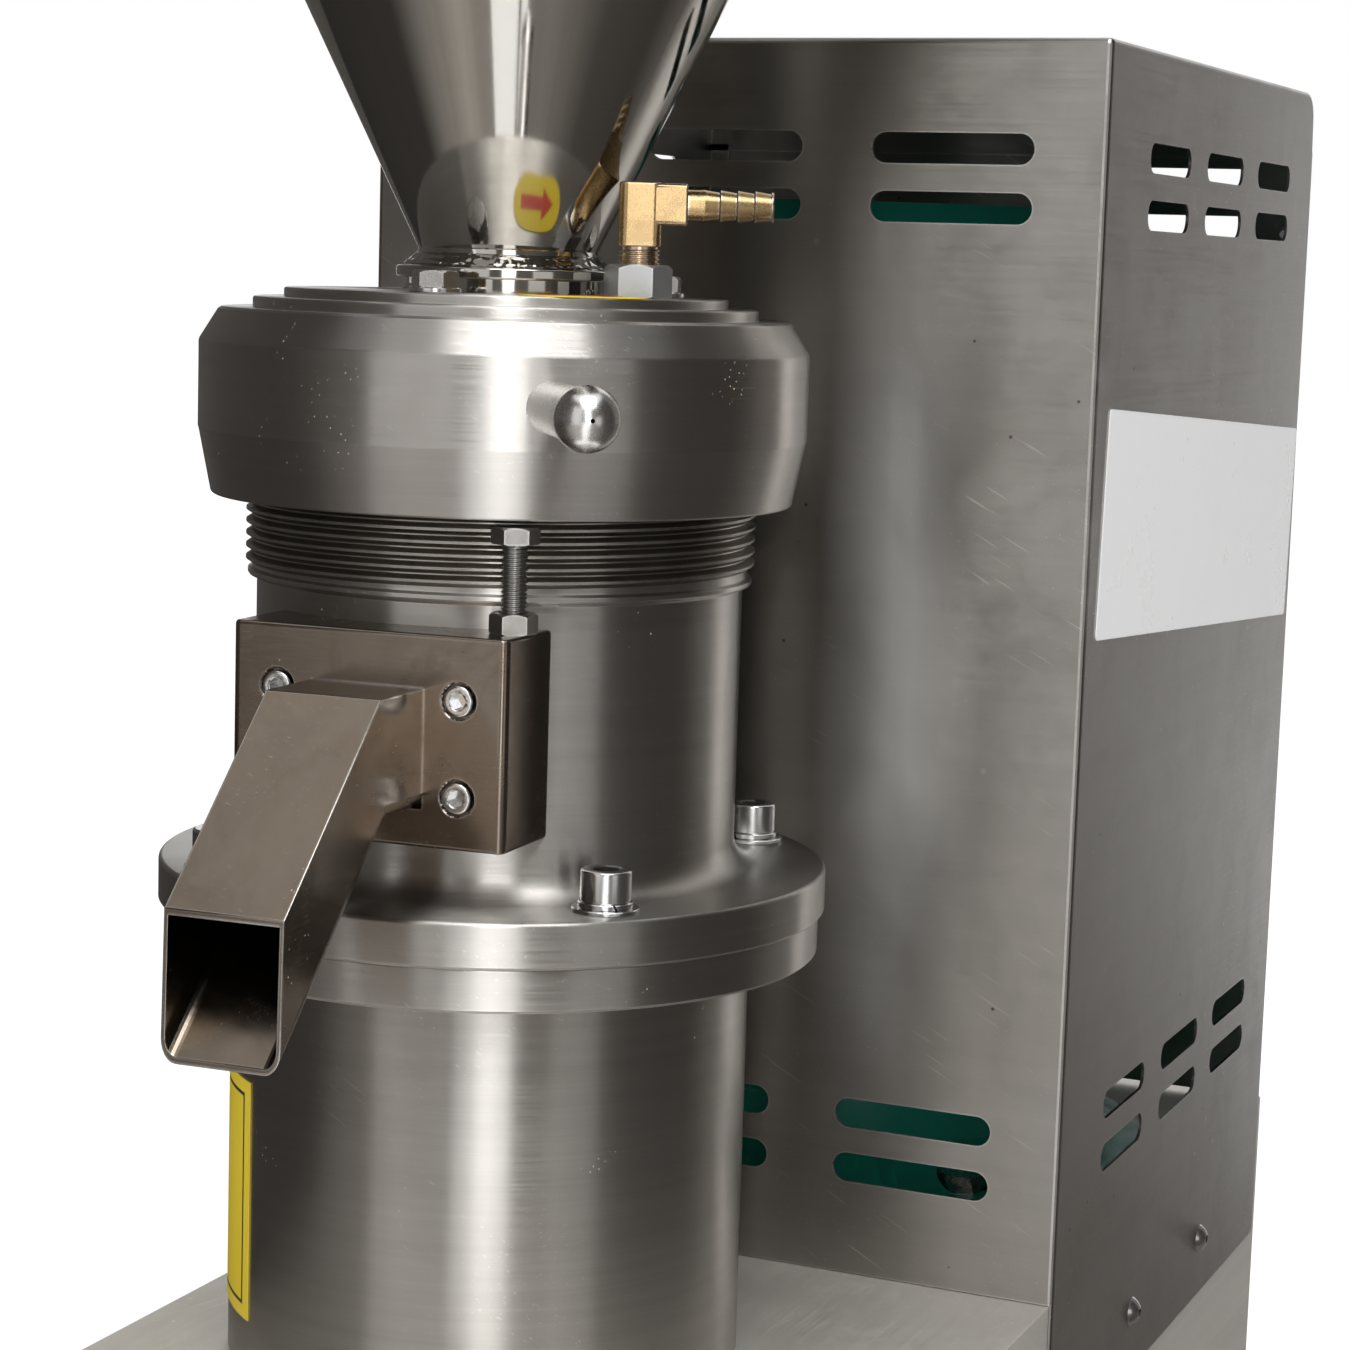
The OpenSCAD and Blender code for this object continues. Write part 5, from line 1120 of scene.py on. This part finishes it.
def studio():
    floor()
    backdrop()
    softbox("key softbox", -95, 0.9, 1.9, 0.85, 1.8, 0.7)
    softbox("strip softbox", -110, 0.9, 2.0, 0.12, 2.2, 1.2)
    softbox("middle softbox", -64, 1.0, 2.0, 0.5, 2.0, 3.2)
    softbox("right softbox", -30, 0.45, 1.9, 0.7, 0.9, 0.6)
    softbox("top softbox", -60, 2.3, 1.1, 1.4, 1.3, 4.2)
    cloth = cloth_finish("dark cloth", {145: 0.15, 208: 0.12, 228: 0.2, 275: 0.26, 330: 0.28, 358: 0.09, 394: 0.07,
                                        408: 0.34, 430: 0.26})
    felt = cloth_finish("dark felt", {145: 0.04, 216: 0.04, 244: 0.42, 262: 0.55, 280: 0.36, 300: 0.3, 330: 0.26,
                                      358: 0.08, 394: 0.06, 408: 0.2, 430: 0.2})
    centre = (MILL[0] * MM, MILL[1] * MM)
    behind = (76, 126)
    let_go()
    bpy.ops.mesh.primitive_cylinder_add(vertices=90, radius=3, depth=5, end_fill_type="NOTHING",
                                        location=(*centre, 2.45))
    dark_card(apply_place(bpy.context.object), "dark cloth round the camera", cloth, [behind])
    let_go()
    bpy.ops.mesh.primitive_circle_add(vertices=180, radius=0.3, fill_type="NOTHING", location=(*centre, 0.0006))
    mat = apply_place(bpy.context.object)
    work_on(mat)
    bpy.ops.mesh.extrude_edges_move()
    bpy.ops.transform.resize(value=(10, 10, 1), center_override=(*centre, 0))
    bpy.ops.object.mode_set(mode="OBJECT")
    dark_card(mat, "dark mat round the machine", felt, [(-78, -60), (-58, -54), behind])


def camera():
    yaw, pitch, roll = (math.radians(a) for a in (23.575, -7.595, 1.775))
    ahead = Vector((-math.sin(yaw) * math.cos(pitch), math.cos(yaw) * math.cos(pitch), math.sin(pitch)))
    right = Vector((math.cos(yaw), math.sin(yaw), 0))
    up = right.cross(ahead)
    right, up = math.cos(roll) * right + math.sin(roll) * up, -math.sin(roll) * right + math.cos(roll) * up
    lens = bpy.data.cameras.new("photo camera")
    lens.sensor_width = 36
    lens.lens = 83.0
    lens.clip_start, lens.clip_end = 0.02, 60
    eye = bpy.data.objects.new("photo camera", lens)
    bpy.context.collection.objects.link(eye)
    turn = Matrix((right, up, -ahead)).transposed().to_4x4()
    eye.matrix_world = Matrix.Translation((0.4369, -1.0644, 0.596)) @ turn
    bpy.context.scene.camera = eye
    bpy.context.scene.view_settings.view_transform = "Standard"


for build in (
    lower_barrel, upper_barrel, flange_hardware, outlet_block, outlet_chute, stop_bolt, ring, cap, cap_hardware,
    handle, hopper, water_fittings, cover, cover_hardware, blank_plates, plain_arrow, plain_pieces, studio, camera,
):
    build()
